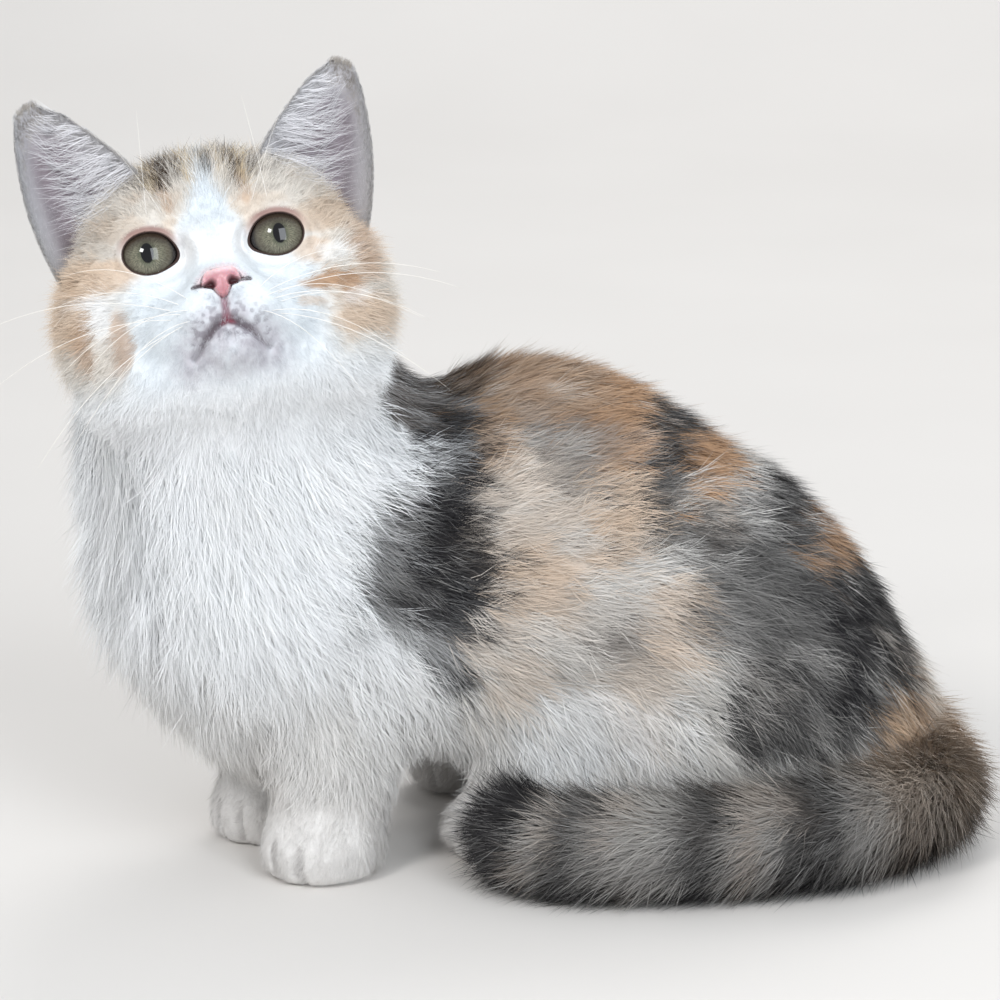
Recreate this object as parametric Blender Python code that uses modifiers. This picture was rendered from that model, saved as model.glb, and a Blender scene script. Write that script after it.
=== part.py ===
"""A sitting munchkin kitten, life size, out to the tips of its coat.

Metres, +Z up. The kitten sits on the plane z = 0 with its left side towards -Y, its rump
towards +X, its chest turned between -X and -Y and its face towards -Y. The origin is on the
floor under the middle of its box.

The flesh is made whole, as rounded masses that are merged and smoothed, and it is then
parted into head, jaw, neck, chest, trunk, rump and limbs by cuts as thin as GAP. The tables
are in the pose's frame, which FRAME_SHIFT sets over the origin at the end.
"""
import math

import bmesh
import bpy
import numpy as np
from mathutils import Euler, Matrix, Vector

MM = 0.001

# Driving dimensions, in millimetres and degrees
GAP = 0.4
HEAD_YAW = 3.0
HEAD_PITCH = 30.0
HEAD_ROLL = 8.6
EYES_MIDDLE = (-69.5, -66.0, 172.6)
EYE_SPACING = 31.4
EYE_RADIUS = 9.0
EYE_DEPTH = 8.8
CHEST_YAW = 33.0
BIB_YAW = 25.0
PAW_YAW = 42.0
TAIL_RADIUS = 16.8
FRAME_SHIFT = (-3.5, 15.3, 0.0)

# Fineness of the merged flesh: voxel in millimetres, rounds of smoothing, triangles
HEAD_FINENESS = (1.4, 7, 2600)
BODY_FINENESS = (2.0, 20, 2000)

# Stations and sides of the trunk's lofts, and the shape of the barrel's section
LOFT_RINGS = 40
LOFT_SIDES = 32
BELLY_FULLNESS = 0.16
FLANK_FLATNESS = 0.85

# Masses of the trunk: name, centre, radii, (yaw, pitch) of its long axis
BODY_MASSES = [
    ("nape", (-52, -8, 112), (34, 31, 29), (10, 0)),
    ("shoulder_left", (-24, -29, 84), (31, 21, 40), (12, 0)),
    ("shoulder_right", (-42, 12, 84), (34, 23, 40), (20, 0)),
    ("breast_right", (-62, 0, 78), (34, 25, 44), (30, 0)),
    ("thigh_left", (50, -20, 42), (46, 26, 41), (8, 12)),
    ("thigh_right", (40, 29, 42), (46, 26, 41), (12, 12)),
    ("knee_left", (14, -27, 30), (22, 17, 24), (8, 0)),
    ("knee_right", (4, 23, 30), (22, 17, 24), (12, 0)),
]

# Stations of the barrel: x, y of the middle, underside, back, half width
BARREL = [
    (-46, -16, 34, 118, 30),
    (-22, -9, 24, 124, 39),
    (4, -4, 14, 130, 43),
    (30, -1, 8, 125, 45),
    (53, 2, 4, 110, 46),
    (76, 6, -1, 95, 44),
    (96, 9, -3, 73, 37),
    (110, 11, -3, 49, 27),
    (119, 12, 2, 34, 14),
]

# Stations of the bib, from the throat down: height, x, y, half length, half width
BIB = [
    (137, -68, -30, 40, 37),
    (120, -67, -29, 44, 40),
    (100, -66, -27, 45, 41),
    (80, -65, -26, 45, 41),
    (62, -62, -24, 43, 39),
    (46, -56, -22, 39, 35),
    (32, -51, -20, 32, 29),
    (22, -47, -19, 22, 18),
]

# Masses of the limbs, as for the trunk
LIMB_MASSES = [
    ("upper_arm_left", (-35, -35, 58), (25, 18, 32), (CHEST_YAW, 0)),
    ("forearm_left", (-42, -39, 32), (19, 16, 27), (CHEST_YAW, 0)),
    ("wrist_left", (-45, -40, 16), (17, 15, 15), (CHEST_YAW, 0)),
    ("palm_left", (-46, -41, 8), (19, 17, 14), (PAW_YAW, 0)),
    ("upper_arm_right", (-56, 0, 56), (25, 17, 32), (CHEST_YAW, 0)),
    ("forearm_right", (-60, -8, 32), (18, 15, 27), (CHEST_YAW, 0)),
    ("wrist_right", (-61, -10, 16), (16, 14, 15), (CHEST_YAW, 0)),
    ("palm_right", (-62, -11, 8), (18, 15.5, 14), (CHEST_YAW, 0)),
    ("heel_left", (38, -33, 11), (22, 13, 15), (5, 0)),
    ("sole_left", (14, -33, 9), (30, 13, 13), (3, 0)),
    ("toes_left", (-3, -30, 9), (14, 13.5, 12), (10, 0)),
    ("heel_right", (28, 37, 11), (22, 13, 15), (15, 0)),
    ("sole_right", (4, 31, 9), (30, 13, 13), (15, 0)),
    ("toes_right", (-14, 26, 9), (14, 13.5, 12), (20, 0)),
]

# Masses of the head, in its own frame: forward, left and up from between the eyes
HEAD_SINGLE = [
    ("cranium", (-37, 0, 3), (34, 39, 34), 0),
    ("forehead", (-20, 0, 11), (18, 27, 19), 0),
    ("bridge", (-5.5, 0, -2), (11, 11, 11), 35),
    ("snout", (2, 0, -14), (11, 9.5, 7.5), 10),
    ("chin", (-2, 0, -27), (9, 9.5, 7), 0),
    ("throat", (-24, 0, -27), (25, 28, 16), 0),
]
HEAD_PAIRED = [
    ("cheek", (-26, 27, -12), (24, 17.5, 24), 0),
    ("jowl", (-25, 23, -25), (21, 18, 16), 0),
    ("cheekbone", (-16, 17, -13), (16, 17, 14), 0),
    ("muzzle_side", (-7, 12, -20), (13, 11, 9), 0),
    ("brow", (-16, 14, 8), (15, 15, 11), 0),
    ("whisker_pad", (1.5, 6.8, -19), (10, 8.5, 7), 0),
]
JAW = ((-5, 0, -31), (14, 10.5, 8.5))
NOSE = ((10.4, 0, -13.6), (4.4, 6.3, 4.6))
NOSE_NARROWING = 0.34

# Edges of the left ear, left and up in the head's frame, from foot to tip
EAR_INNER = [(11, 20), (16.5, 29.4), (24, 39), (31, 46.6), (36.3, 50.0)]
EAR_OUTER = [(38, -2), (42, 11), (44.4, 23.7), (45.0, 37.8), (44.2, 46.6)]
EAR_DOME = 3.2
EAR_INNER_FRONT = -16.0
EAR_OUTER_FRONT = -23.0
EAR_LEAN = 0.18
EAR_CUP = 19.0
EAR_ROUNDNESS = 0.6
EAR_WALL = 3.45
EAR_TIP_WALL = 1.2
EAR_RINGS = 10
EAR_SIDES = 18

# The tail's middle line on the floor plan, from its root to its tip
TAIL_PATH = [
    (96, 16), (107, 9), (113, -6), (111, -24), (101, -39), (84, -51),
    (60, -59), (34, -62), (14, -59), (4, -49), (2, -41),
]
TAIL_ROOT_HEIGHT = 26.0
TAIL_STATIONS = 30
TAIL_TAPER = 0.10
TAIL_ROOT_SHARE = 0.16
TAIL_TIP_SHARE = 0.076
TAIL_BLUNTNESS = 0.02
TAIL_PRESSED = 1.2

# Balls and boxes that part the body, in order: name, shape, centre, half sizes and the
# turn about x, y and z. Slabs as large as BIG reach past the body on every side.
BIG = 130.0
FLOOR_DEPTH = 60.0
HEAD_BOX = (58, 75, 70)
NECK_FACE = ((-76, -38, 130), (-16, 0, 0))
REGIONS = [
    ("neck", "BALL", (-60, -20, 114), (52, 56, 30), (0, 12, 0)),
    ("forepaw_left", "BALL", (-48, -43, 0), (23, 20, 17), (0, 0, PAW_YAW)),
    ("forepaw_right", "BALL", (-64, -10, 0), (21, 18, 17), (0, 0, CHEST_YAW)),
    ("foreleg_left", "BALL", (-38, -41, 38), (25, 20, 38), (0, 0, CHEST_YAW)),
    ("foreleg_right", "BALL", (-60, 3, 36), (24, 18, 36), (0, 0, CHEST_YAW)),
    ("hindfoot_left", "BALL", (18, -34, 0), (48, 21, 22), (0, 0, 4)),
    ("hindfoot_right", "BALL", (6, 34, 0), (48, 21, 22), (0, 0, 15)),
    ("thigh_left", "BALL", (48, -30, 40), (44, 24, 38), (0, 12, 8)),
    ("thigh_right", "BALL", (38, 39, 40), (44, 24, 38), (0, 12, 12)),
    ("chest", "BOX", (-14 - BIG, 0, 100), (BIG, BIG, BIG), (0, -6, 12)),
    ("trunk", "BOX", (34 - BIG, 0, 100), (BIG, BIG, BIG), (0, 4, 4)),
]
TAIL_REGIONS = [
    ("tail_base", (96 + BIG, 0, 0)),
    ("tail_tip", (22 - BIG, 0, 0)),
]

# Finishes: colour and roughness
FINISHES = {
    "white_coat": ((0.86, 0.84, 0.81), 0.85),
    "patched_coat": ((0.48, 0.40, 0.33), 0.85),
    "grey_coat": ((0.34, 0.32, 0.31), 0.85),
    "pink_skin": ((0.80, 0.48, 0.46), 0.5),
    "eye": ((0.28, 0.27, 0.16), 0.08),
}
FINISH_OF = {
    "trunk": "patched_coat", "rump": "patched_coat", "thigh": "patched_coat",
    "tail": "grey_coat", "nose": "pink_skin", "eye": "eye",
}


def collection(name):
    """A collection of that name in the scene."""
    made = bpy.data.collections.new(name)
    bpy.context.scene.collection.children.link(made)
    return made


def clear_scene():
    """Take every object out of the scene."""
    for thing in list(bpy.data.objects):
        bpy.data.objects.remove(thing, do_unlink=True)


def material(name, colour, roughness):
    """A plain finish that isn't metal."""
    made = bpy.data.materials.new(name)
    made.use_nodes = True
    shader = made.node_tree.nodes["Principled BSDF"]
    shader.inputs["Base Color"].default_value = (*colour, 1.0)
    shader.inputs["Roughness"].default_value = roughness
    shader.inputs["Metallic"].default_value = 0.0
    return made


def to_metres():
    """From the millimetres of the tables to metres."""
    return Matrix.Diagonal((MM, MM, MM, 1.0))


def turned(degrees):
    """The rotation by angles about x, y and z."""
    return Euler([math.radians(angle) for angle in degrees]).to_matrix().to_4x4()


def head_frame():
    """The head's own axes, forward, left and up, set at the point between the eyes."""
    yaw, pitch, roll = (math.radians(a) for a in (HEAD_YAW, HEAD_PITCH, HEAD_ROLL))
    forward = Vector((math.sin(yaw) * math.cos(pitch), -math.cos(yaw) * math.cos(pitch),
                      math.sin(pitch)))
    level_left = Vector((math.cos(yaw), math.sin(yaw), 0.0))
    level_up = forward.cross(level_left)
    left = math.cos(roll) * level_left + math.sin(roll) * level_up
    up = forward.cross(left)
    axes = Matrix((forward, left, up)).transposed().to_4x4()
    return Matrix.Translation(Vector(EYES_MIDDLE)) @ axes


def object_from(bm, name, where):
    """An object of the bmesh's faces, facing out."""
    bmesh.ops.recalc_face_normals(bm, faces=bm.faces)
    mesh = bpy.data.meshes.new(name)
    bm.to_mesh(mesh)
    bm.free()
    made = bpy.data.objects.new(name, mesh)
    where.objects.link(made)
    return made


def guide(thing):
    """Mark a shape that only helps to make others."""
    thing.hide_render = True
    thing.display_type = "WIRE"
    return thing


def add_ball(bm, centre, radii, turn=(0, 0, 0), frame=None, fineness=3):
    """Add an ellipsoid: a ball scaled by its radii, turned and set at its centre."""
    place = Matrix.Translation(Vector(centre)) @ turned(turn) @ Matrix.Diagonal((*radii, 1.0))
    if frame is not None:
        place = frame @ place
    bmesh.ops.create_icosphere(bm, subdivisions=fineness, radius=1.0, matrix=to_metres() @ place)


def smooth_through(keys, count):
    """Points evenly along a Catmull-Rom curve through the keys, as an array."""
    keys = np.asarray(keys, float)
    padded = np.vstack([2 * keys[0] - keys[1], keys, 2 * keys[-1] - keys[-2]])
    spans = len(keys) - 1
    t = np.linspace(0, spans, spans * 24 + 1)
    i = np.minimum(t.astype(int), spans - 1)
    u = (t - i)[:, None]
    a, b, c, d = (padded[i + step] for step in range(4))
    curve = 0.5 * (2 * b + (c - a) * u + (2 * a - 5 * b + 4 * c - d) * u**2
                   + (3 * b - a - 3 * c + d) * u**3)
    length = np.concatenate([[0], np.cumsum(np.linalg.norm(np.diff(curve, axis=0), axis=1))])
    even = np.linspace(0, length[-1], count)
    return np.column_stack([np.interp(even, length, column) for column in curve.T])


def add_loft(bm, rings, frame=None, slit=False):
    """Skin a row of equal rings of points with quads and close both ends with fans, or the
    last one, where it is a bent slit, with a strip that joins its two long sides."""
    place = to_metres() if frame is None else to_metres() @ frame
    rows = [[bm.verts.new(place @ Vector(point)) for point in ring] for ring in rings]
    sides = len(rows[0])
    for first, second in zip(rows, rows[1:]):
        for i in range(sides):
            j = (i + 1) % sides
            bm.faces.new((first[i], first[j], second[j], second[i]))
    for row in rows[:1] if slit else (rows[0], rows[-1]):
        middle = bm.verts.new(sum((v.co for v in row), Vector()) / sides)
        for i in range(sides):
            bm.faces.new((row[i], row[(i + 1) % sides], middle))
    if slit:
        for i in range(sides // 2):
            corners = (rows[-1][i], rows[-1][i + 1], rows[-1][-i - 1], rows[-1][-i])
            bm.faces.new(list(dict.fromkeys(corners)))


def add_barrel(bm):
    """The rib cage and loin: upright egg-shaped sections carried along the spine's plan."""
    stations = smooth_through(BARREL, LOFT_RINGS)
    along = np.gradient(stations[:, :2], axis=0)
    along /= np.linalg.norm(along, axis=1)[:, None]
    angle = np.linspace(0, 2 * np.pi, LOFT_SIDES, endpoint=False)
    rings = []
    for (x, y, low, high, half), (ax, ay) in zip(stations, along):
        level = 0.5 * (low + high) + 0.5 * (high - low) * np.sin(angle)
        fullness = 1.0 - BELLY_FULLNESS * np.sin(angle)
        across = np.sign(np.cos(angle)) * np.abs(np.cos(angle)) ** FLANK_FLATNESS
        across = half * across * fullness
        rings.append(np.column_stack([x - ay * across, y + ax * across, level]))
    add_loft(bm, rings)


def add_bib(bm):
    """The full chest coat: level oval sections stacked from the throat to between the legs."""
    stations = smooth_through(BIB, LOFT_RINGS)
    angle = np.linspace(0, 2 * np.pi, LOFT_SIDES, endpoint=False)
    turn = math.radians(BIB_YAW)
    rings = []
    for z, x, y, half_length, half_width in stations:
        fore = half_length * np.cos(angle)
        side = half_width * np.sin(angle)
        rings.append(np.column_stack([
            x + fore * math.cos(turn) - side * math.sin(turn),
            y + fore * math.sin(turn) + side * math.cos(turn),
            np.full(len(angle), z)]))
    add_loft(bm, rings)


def add_head(bm):
    """Skull, cheeks, muzzle and chin in the head's own frame."""
    frame = head_frame()
    for _, centre, radii, pitch in HEAD_SINGLE:
        add_ball(bm, centre, radii, (0, pitch, 0), frame)
    for _, (fore, side, up), radii, pitch in HEAD_PAIRED:
        for hand in (-1, 1):
            add_ball(bm, (fore, hand * side, up), radii, (0, pitch, 0), frame)


def evaluated_copy(thing, name, where):
    """A new object whose mesh is the thing as its modifiers leave it."""
    graph = bpy.context.evaluated_depsgraph_get()
    graph.update()
    mesh = bpy.data.meshes.new_from_object(thing.evaluated_get(graph))
    mesh.name = name
    made = bpy.data.objects.new(name, mesh)
    made.matrix_world = thing.matrix_world
    where.objects.link(made)
    return made


def applied(thing):
    """The thing with its modifiers made part of its mesh."""
    name = thing.name
    where = thing.users_collection[0]
    made = evaluated_copy(thing, name + "_next", where)
    made.hide_render = thing.hide_render
    made.display_type = thing.display_type
    bpy.data.objects.remove(thing, do_unlink=True)
    made.name = name
    made.data.name = name
    return made


def merged_flesh(name, fineness, where):
    """All flesh but ears and tail: masses merged, smoothed and thinned."""
    voxel, rounds, triangles = fineness
    bm = bmesh.new()
    add_barrel(bm)
    add_bib(bm)
    add_head(bm)
    for _, centre, radii, (yaw, pitch) in BODY_MASSES + LIMB_MASSES:
        add_ball(bm, centre, radii, (0, pitch, yaw))
    flesh = object_from(bm, name, where)
    merge = flesh.modifiers.new("merge", "REMESH")
    merge.mode = "VOXEL"
    merge.voxel_size = voxel * MM
    soften = flesh.modifiers.new("soften", "SMOOTH")
    soften.factor = 0.5
    soften.iterations = rounds
    flesh = applied(flesh)
    count = sum(len(face.vertices) - 2 for face in flesh.data.polygons)
    thin = flesh.modifiers.new("thin", "DECIMATE")
    thin.ratio = triangles / count
    return applied(flesh)


def boolean(thing, cutter, operation):
    """The thing after one exact Boolean with the cutter."""
    cut = thing.modifiers.new(operation.lower(), "BOOLEAN")
    cut.object = cutter
    cut.operation = operation
    cut.solver = "EXACT"
    return applied(thing)


def region(name, shape, centre, sizes, turn, grow, where, frame=None, fineness=2):
    """A ball or a box to part the flesh with, larger by grow on every side."""
    sizes = [size + grow for size in sizes]
    bm = bmesh.new()
    if shape == "BALL":
        add_ball(bm, centre, sizes, turn, frame, fineness)
    else:
        place = Matrix.Translation(Vector(centre)) @ turned(turn)
        if frame is not None:
            place = frame @ place
        scale = Matrix.Diagonal((*(2 * size for size in sizes), 1.0))
        bmesh.ops.create_cube(bm, size=1.0, matrix=to_metres() @ place @ scale)
    return guide(object_from(bm, name, where))


def keep_largest(thing):
    """Drop all but the largest connected piece of the thing's mesh."""
    bm = bmesh.new()
    bm.from_mesh(thing.data)
    left = set(bm.verts)
    pieces = []
    while left:
        edge = [left.pop()]
        piece = set(edge)
        while edge:
            near = [e.other_vert(v) for v in edge for e in v.link_edges]
            edge = list({v for v in near if v in left})
            left.difference_update(edge)
            piece.update(edge)
        pieces.append(piece)
    pieces.sort(key=len)
    crumbs = [v for piece in pieces[:-1] for v in piece]
    bmesh.ops.delete(bm, geom=crumbs, context="VERTS")
    bm.to_mesh(thing.data)
    bm.free()
    return thing


def carve(rest, name, shape, centre, sizes, turn, kitten, guides, frame=None):
    """Take the flesh inside a region out of the rest, and leave GAP between them."""
    piece = evaluated_copy(rest, name, kitten)
    inner = region("cut_" + name, shape, centre, sizes, turn, 0.0, guides, frame)
    outer = region("gap_" + name, shape, centre, sizes, turn, GAP, guides, frame)
    piece = keep_largest(boolean(piece, inner, "INTERSECT"))
    rest = keep_largest(boolean(rest, outer, "DIFFERENCE"))
    return piece, rest


def grown(thing, guides):
    """A cutter a little larger than the thing all round."""
    made = guide(evaluated_copy(thing, "grown_" + thing.name, guides))
    swell = made.modifiers.new("swell", "DISPLACE")
    swell.strength = GAP * MM
    swell.mid_level = 0.0
    return applied(made)


def head_box(name, grow, guides):
    """The box that holds the head, standing on the slanted face where the neck meets it."""
    at, tilt = NECK_FACE
    above = Matrix.Translation(Vector(at)) @ turned(tilt) @ Matrix.Translation((0, 0, HEAD_BOX[2]))
    return region(name, "BOX", above.to_translation(), HEAD_BOX, tilt, grow, guides)


def head_pieces(kitten, guides):
    """Head with eye sockets, lower jaw, nose, eyes and ears."""
    frame = head_frame()
    head = merged_flesh("head", HEAD_FINENESS, kitten)
    head = keep_largest(boolean(head, head_box("head_cut", -GAP, guides), "INTERSECT"))
    centre, radii = JAW
    _, head = carve(head, "jaw", "BALL", centre, radii, (0, 0, 0), kitten, guides, frame)
    nose = nose_leather(kitten, frame)
    head = boolean(head, grown(nose, guides), "DIFFERENCE")
    for hand, side in ((1, "left"), (-1, "right")):
        place = (-EYE_DEPTH, hand * EYE_SPACING / 2, 0)
        socket = region("socket_" + side, "BALL", place, [EYE_RADIUS] * 3, (0, 0, 0), GAP,
                        guides, frame, fineness=3)
        head = boolean(head, socket, "DIFFERENCE")
        eyeball(side, frame @ Vector(place), kitten)
    head = keep_largest(head)
    shell = grown(head, guides)
    for hand, side in ((1, "left"), (-1, "right")):
        ear = ear_shell("ear_" + side, hand, kitten, frame)
        keep_largest(boolean(ear, shell, "DIFFERENCE"))


def eyeball(side, centre, kitten):
    """One round eye."""
    bm = bmesh.new()
    place = to_metres() @ Matrix.Translation(centre) @ turned((90, 0, 0))
    bmesh.ops.create_uvsphere(bm, u_segments=16, v_segments=9, radius=EYE_RADIUS, matrix=place)
    return object_from(bm, "eye_" + side, kitten)


def nose_leather(kitten, frame):
    """The bare tip of the nose: a ball drawn in below, so that it is three-sided in front."""
    centre, radii = NOSE
    bm = bmesh.new()
    bmesh.ops.create_uvsphere(bm, u_segments=14, v_segments=8, radius=1.0)
    for vert in bm.verts:
        vert.co.y *= 1 - NOSE_NARROWING * (1 - vert.co.z)
    scale = Matrix.Diagonal((*radii, 1.0))
    bm.transform(to_metres() @ frame @ Matrix.Translation(Vector(centre)) @ scale)
    return object_from(bm, "nose", kitten)


def ear_shell(name, hand, kitten, frame):
    """A cupped ear: rings from foot to tip, each running across the hollow and back behind."""
    inner = smooth_through(EAR_INNER, EAR_RINGS)
    outer = smooth_through(EAR_OUTER, EAR_RINGS)
    angle = np.linspace(0, 2 * np.pi, EAR_SIDES, endpoint=False)
    across = 0.5 + 0.5 * np.cos(angle)
    foot_height = EAR_INNER[0][1]
    rings = []
    for rise, near, far in zip(np.linspace(0, 1, EAR_RINGS), inner, outer):
        left = near[0] + (far[0] - near[0]) * across
        up = near[1] + (far[1] - near[1]) * across
        up = up + EAR_DOME * np.sqrt(4 * across * (1 - across)) * rise**6
        middle = 0.5 * (EAR_INNER_FRONT + EAR_OUTER_FRONT)
        twist = (EAR_INNER_FRONT - middle) * (1 - 2 * across) * (1 - rise**3)
        edge = middle + twist - EAR_LEAN * (up - foot_height)
        hollow = EAR_CUP * np.sqrt(1 - rise) * (4 * across * (1 - across)) ** EAR_ROUNDNESS
        behind = np.clip(-np.sin(angle), 0, 1) ** EAR_ROUNDNESS
        wall = EAR_WALL * (1 - rise) + EAR_TIP_WALL * rise
        rings.append(np.column_stack([edge - hollow - wall * behind, hand * left, up]))
    bm = bmesh.new()
    add_loft(bm, rings, frame, slit=True)
    return object_from(bm, name, kitten)


def tail_tube(kitten):
    """The whole tail: a thick tube along its path, narrowing to a rounded brush."""
    path = smooth_through(TAIL_PATH, TAIL_STATIONS)
    share = np.linspace(0, 1, TAIL_STATIONS)
    thickness = TAIL_RADIUS * (1 - TAIL_TAPER * share)
    inside_tip = 1 - np.clip((1 - share) / TAIL_TIP_SHARE, 0, 1)
    radius = thickness * np.sqrt(np.clip(1 - inside_tip**2, TAIL_BLUNTNESS, 1))
    root = np.clip(1 - share / TAIL_ROOT_SHARE, 0, 1) ** 1.5
    height = thickness - TAIL_PRESSED + (TAIL_ROOT_HEIGHT - TAIL_RADIUS) * root
    curve = bpy.data.curves.new("tail", "CURVE")
    curve.dimensions = "3D"
    curve.bevel_depth = MM
    curve.bevel_resolution = 4
    curve.use_fill_caps = True
    spline = curve.splines.new("POLY")
    spline.points.add(TAIL_STATIONS - 1)
    place = to_metres()
    for point, (x, y), z, r in zip(spline.points, path, height, radius):
        point.co = (*(place @ Vector((x, y, z))), 1.0)
        point.radius = r
    made = bpy.data.objects.new("tail_curve", curve)
    kitten.objects.link(made)
    tube = evaluated_copy(made, "tail_middle", kitten)
    bpy.data.objects.remove(made, do_unlink=True)
    bm = bmesh.new()
    bm.from_mesh(tube.data)
    bmesh.ops.remove_doubles(bm, verts=bm.verts, dist=0.05 * MM)
    bmesh.ops.recalc_face_normals(bm, faces=bm.faces)
    bm.to_mesh(tube.data)
    bm.free()
    return tube


def body_pieces(kitten, guides):
    """Neck, chest, trunk, rump and limbs, and the tail laid beside them."""
    floor = region("floor", "BOX", (0, 0, -FLOOR_DEPTH), (2 * BIG, 2 * BIG, FLOOR_DEPTH),
                   (0, 0, 0), 0.0, guides)
    rest = merged_flesh("rump", BODY_FINENESS, kitten)
    rest = boolean(rest, head_box("neck_cut", 0.0, guides), "DIFFERENCE")
    rest = keep_largest(boolean(rest, floor, "DIFFERENCE"))
    for name, shape, centre, sizes, turn in REGIONS:
        _, rest = carve(rest, name, shape, centre, sizes, turn, kitten, guides)
    tail = boolean(tail_tube(kitten), floor, "DIFFERENCE")
    for near in ("rump", "thigh_left", "hindfoot_left"):
        tail = boolean(tail, grown(bpy.data.objects[near], guides), "DIFFERENCE")
    tail = keep_largest(tail)
    for name, centre in TAIL_REGIONS:
        _, tail = carve(tail, name, "BOX", centre, (BIG, BIG, BIG), (0, 0, 0), kitten, guides)


def finish(kitten):
    """Move each piece over the origin and give it its finish and smooth shading."""
    made = {name: material(name, *look) for name, look in FINISHES.items()}
    centring = Matrix.Translation(Vector(FRAME_SHIFT) * MM)
    for thing in kitten.objects:
        thing.data.transform(centring)
        first = thing.name.split("_")[0]
        thing.data.materials.clear()
        thing.data.materials.append(made[FINISH_OF.get(first, "white_coat")])
        thing.data.shade_smooth()
        thing.data.set_sharp_from_angle(angle=math.radians(50))


def main():
    clear_scene()
    guides = collection("guides")
    kitten = collection("munchkin_cat")
    head_pieces(kitten, guides)
    body_pieces(kitten, guides)
    finish(kitten)


main()
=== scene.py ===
"""The looks of a sitting munchkin kitten: skin, coat, eyes, nose leather and whiskers.

Lengths are millimetres in the pose's frame until a mesh is written; POSE_SHIFT and MM turn
them to the model's metres. The kitten's left side is towards -Y and its rump towards +X.
"""
import math

import bmesh
import bpy
import numpy as np
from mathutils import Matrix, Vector


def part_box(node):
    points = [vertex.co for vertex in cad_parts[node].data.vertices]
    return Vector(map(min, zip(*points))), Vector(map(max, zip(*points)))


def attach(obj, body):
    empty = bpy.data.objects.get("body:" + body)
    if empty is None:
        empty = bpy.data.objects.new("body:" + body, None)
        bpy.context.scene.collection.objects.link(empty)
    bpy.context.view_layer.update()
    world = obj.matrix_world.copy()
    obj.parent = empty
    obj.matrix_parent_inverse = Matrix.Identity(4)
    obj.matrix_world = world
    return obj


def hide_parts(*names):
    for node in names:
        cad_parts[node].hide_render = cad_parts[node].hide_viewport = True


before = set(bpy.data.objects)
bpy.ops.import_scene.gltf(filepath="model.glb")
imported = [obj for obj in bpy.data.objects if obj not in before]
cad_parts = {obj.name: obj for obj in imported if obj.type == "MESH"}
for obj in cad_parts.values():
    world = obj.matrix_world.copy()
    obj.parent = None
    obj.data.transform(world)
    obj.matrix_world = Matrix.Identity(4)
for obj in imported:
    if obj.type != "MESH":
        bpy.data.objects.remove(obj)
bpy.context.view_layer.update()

MM = 0.001
POSE_SHIFT = np.array([-3.5, 15.3, 0.0])

# The camera: a long lens a little above the kitten, level with the picture's middle
CAMERA_TARGET = (0.0, 0.0, 89.0)
CAMERA_ELEVATION = 15.0
CAMERA_DISTANCE = 1100.0
PICTURE_WIDTH = 265.0
SENSOR = 36.0

# The head's turn, and its landmarks in its own axes: forward, left and up from the eyes
HEAD_YAW = 3.0
HEAD_PITCH = 30.0
HEAD_ROLL = 8.6
EYE_DEPTH = 8.8
EYE_RADIUS = 9.0
EYE_SIDE = 15.8
EYE_RAISED = 0.5
FACE_SHIFT = -0.7
OPENING_HALF = (6.4, 5.1)
OPENING_SHIFT = (0.1, 1.4)
OPENING_CORNER = (-0.28, 0.40, 0.14)
GAZE = (1.0, 0.061, -0.14)
LID_HEIGHT = 0.55
LID_BURIED = 0.5
CAMERA_BELOW_FACE = 18.2
SKULL_MIDDLE = (-30.0, 0.0, 0.0)
MUZZLE_MIDDLE = (4.0, 0.0, -17.0)
NOSE_MIDDLE = (13.5, 0.0, -14.8)
NOSE_BED = 3.2
MOUTH_MIDDLE = (0.0, -22.9)
MOUTH_PATH = [(0.0, -22.9), (2.6, -23.9), (5.4, -26.0), (7.4, -28.0), (9.2, -29.0)]
PHILTRUM_TOP = -17.6
NOSTRIL_FOLD = [(4.4, -14.5), (6.9, -14.2)]
NOSE_HEIGHTS = [-3.6, -3.0, -2.1, -1.2, -0.5, 0.5, 1.6, 2.6, 3.5]
NOSE_WIDTHS = [0.3, 1.3, 1.9, 2.6, 4.3, 5.15, 5.1, 4.5, 3.0]

# The ears' edges, as left and up in the head's axes, and the shape of their cup
EAR_INNER = [(11, 20), (16.5, 29.4), (24, 39), (31, 46.6), (36.3, 50.0)]
EAR_OUTER = [(38, -2), (42, 11), (44.4, 23.7), (45.0, 37.8), (44.2, 46.6)]
EAR_DOME = 3.2
EAR_INNER_FRONT = -16.0
EAR_OUTER_FRONT = -23.0
EAR_LEAN = 0.18
EAR_CUP = 19.0
EAR_ROUNDNESS = 0.6
EAR_WALL = 3.45
EAR_TIP_WALL = 1.2
EAR_COAT = 0.55
EAR_RINGS = 44
EAR_SIDES = 64

# The tail: its middle line on the floor plan, its thickness with its coat, and the coat's
TAIL_PATH = [
    (96, 16), (107, 9), (113, -6), (111, -24), (101, -39), (84, -51),
    (60, -59), (34, -62), (14, -59), (4, -49), (2, -41),
]
TAIL_RADIUS = 16.8
TAIL_ROOT_HEIGHT = 26.0
TAIL_TAPER = 0.10
TAIL_ROOT_SHARE = 0.16
TAIL_PRESSED = 1.2
TAIL_COAT = 7.0
TAIL_RINGS = 150
TAIL_SIDES = 40

# The skin's fineness
SWELL = 0.35
SKIN_VOXEL = 1.5
SKIN_ROUNDS = 8
FACE_CUTS = 3
FACE_FROM = (-24.0, -33.0, -36.0)
FACE_TO = (20.0, 33.0, 22.0)

NAPE_HOLLOW = (-24.0, 8.0, 129.0)

TAIL_NODES = ["tail_base", "tail_middle", "tail_tip"]
EAR_NODES = ["ear_left", "ear_right"]
BODY_NODES = [
    "head", "jaw", "neck", "chest", "trunk", "rump", "thigh_left", "thigh_right",
    "foreleg_left", "foreleg_right", "forepaw_left", "forepaw_right",
    "hindfoot_left", "hindfoot_right",
]

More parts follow.
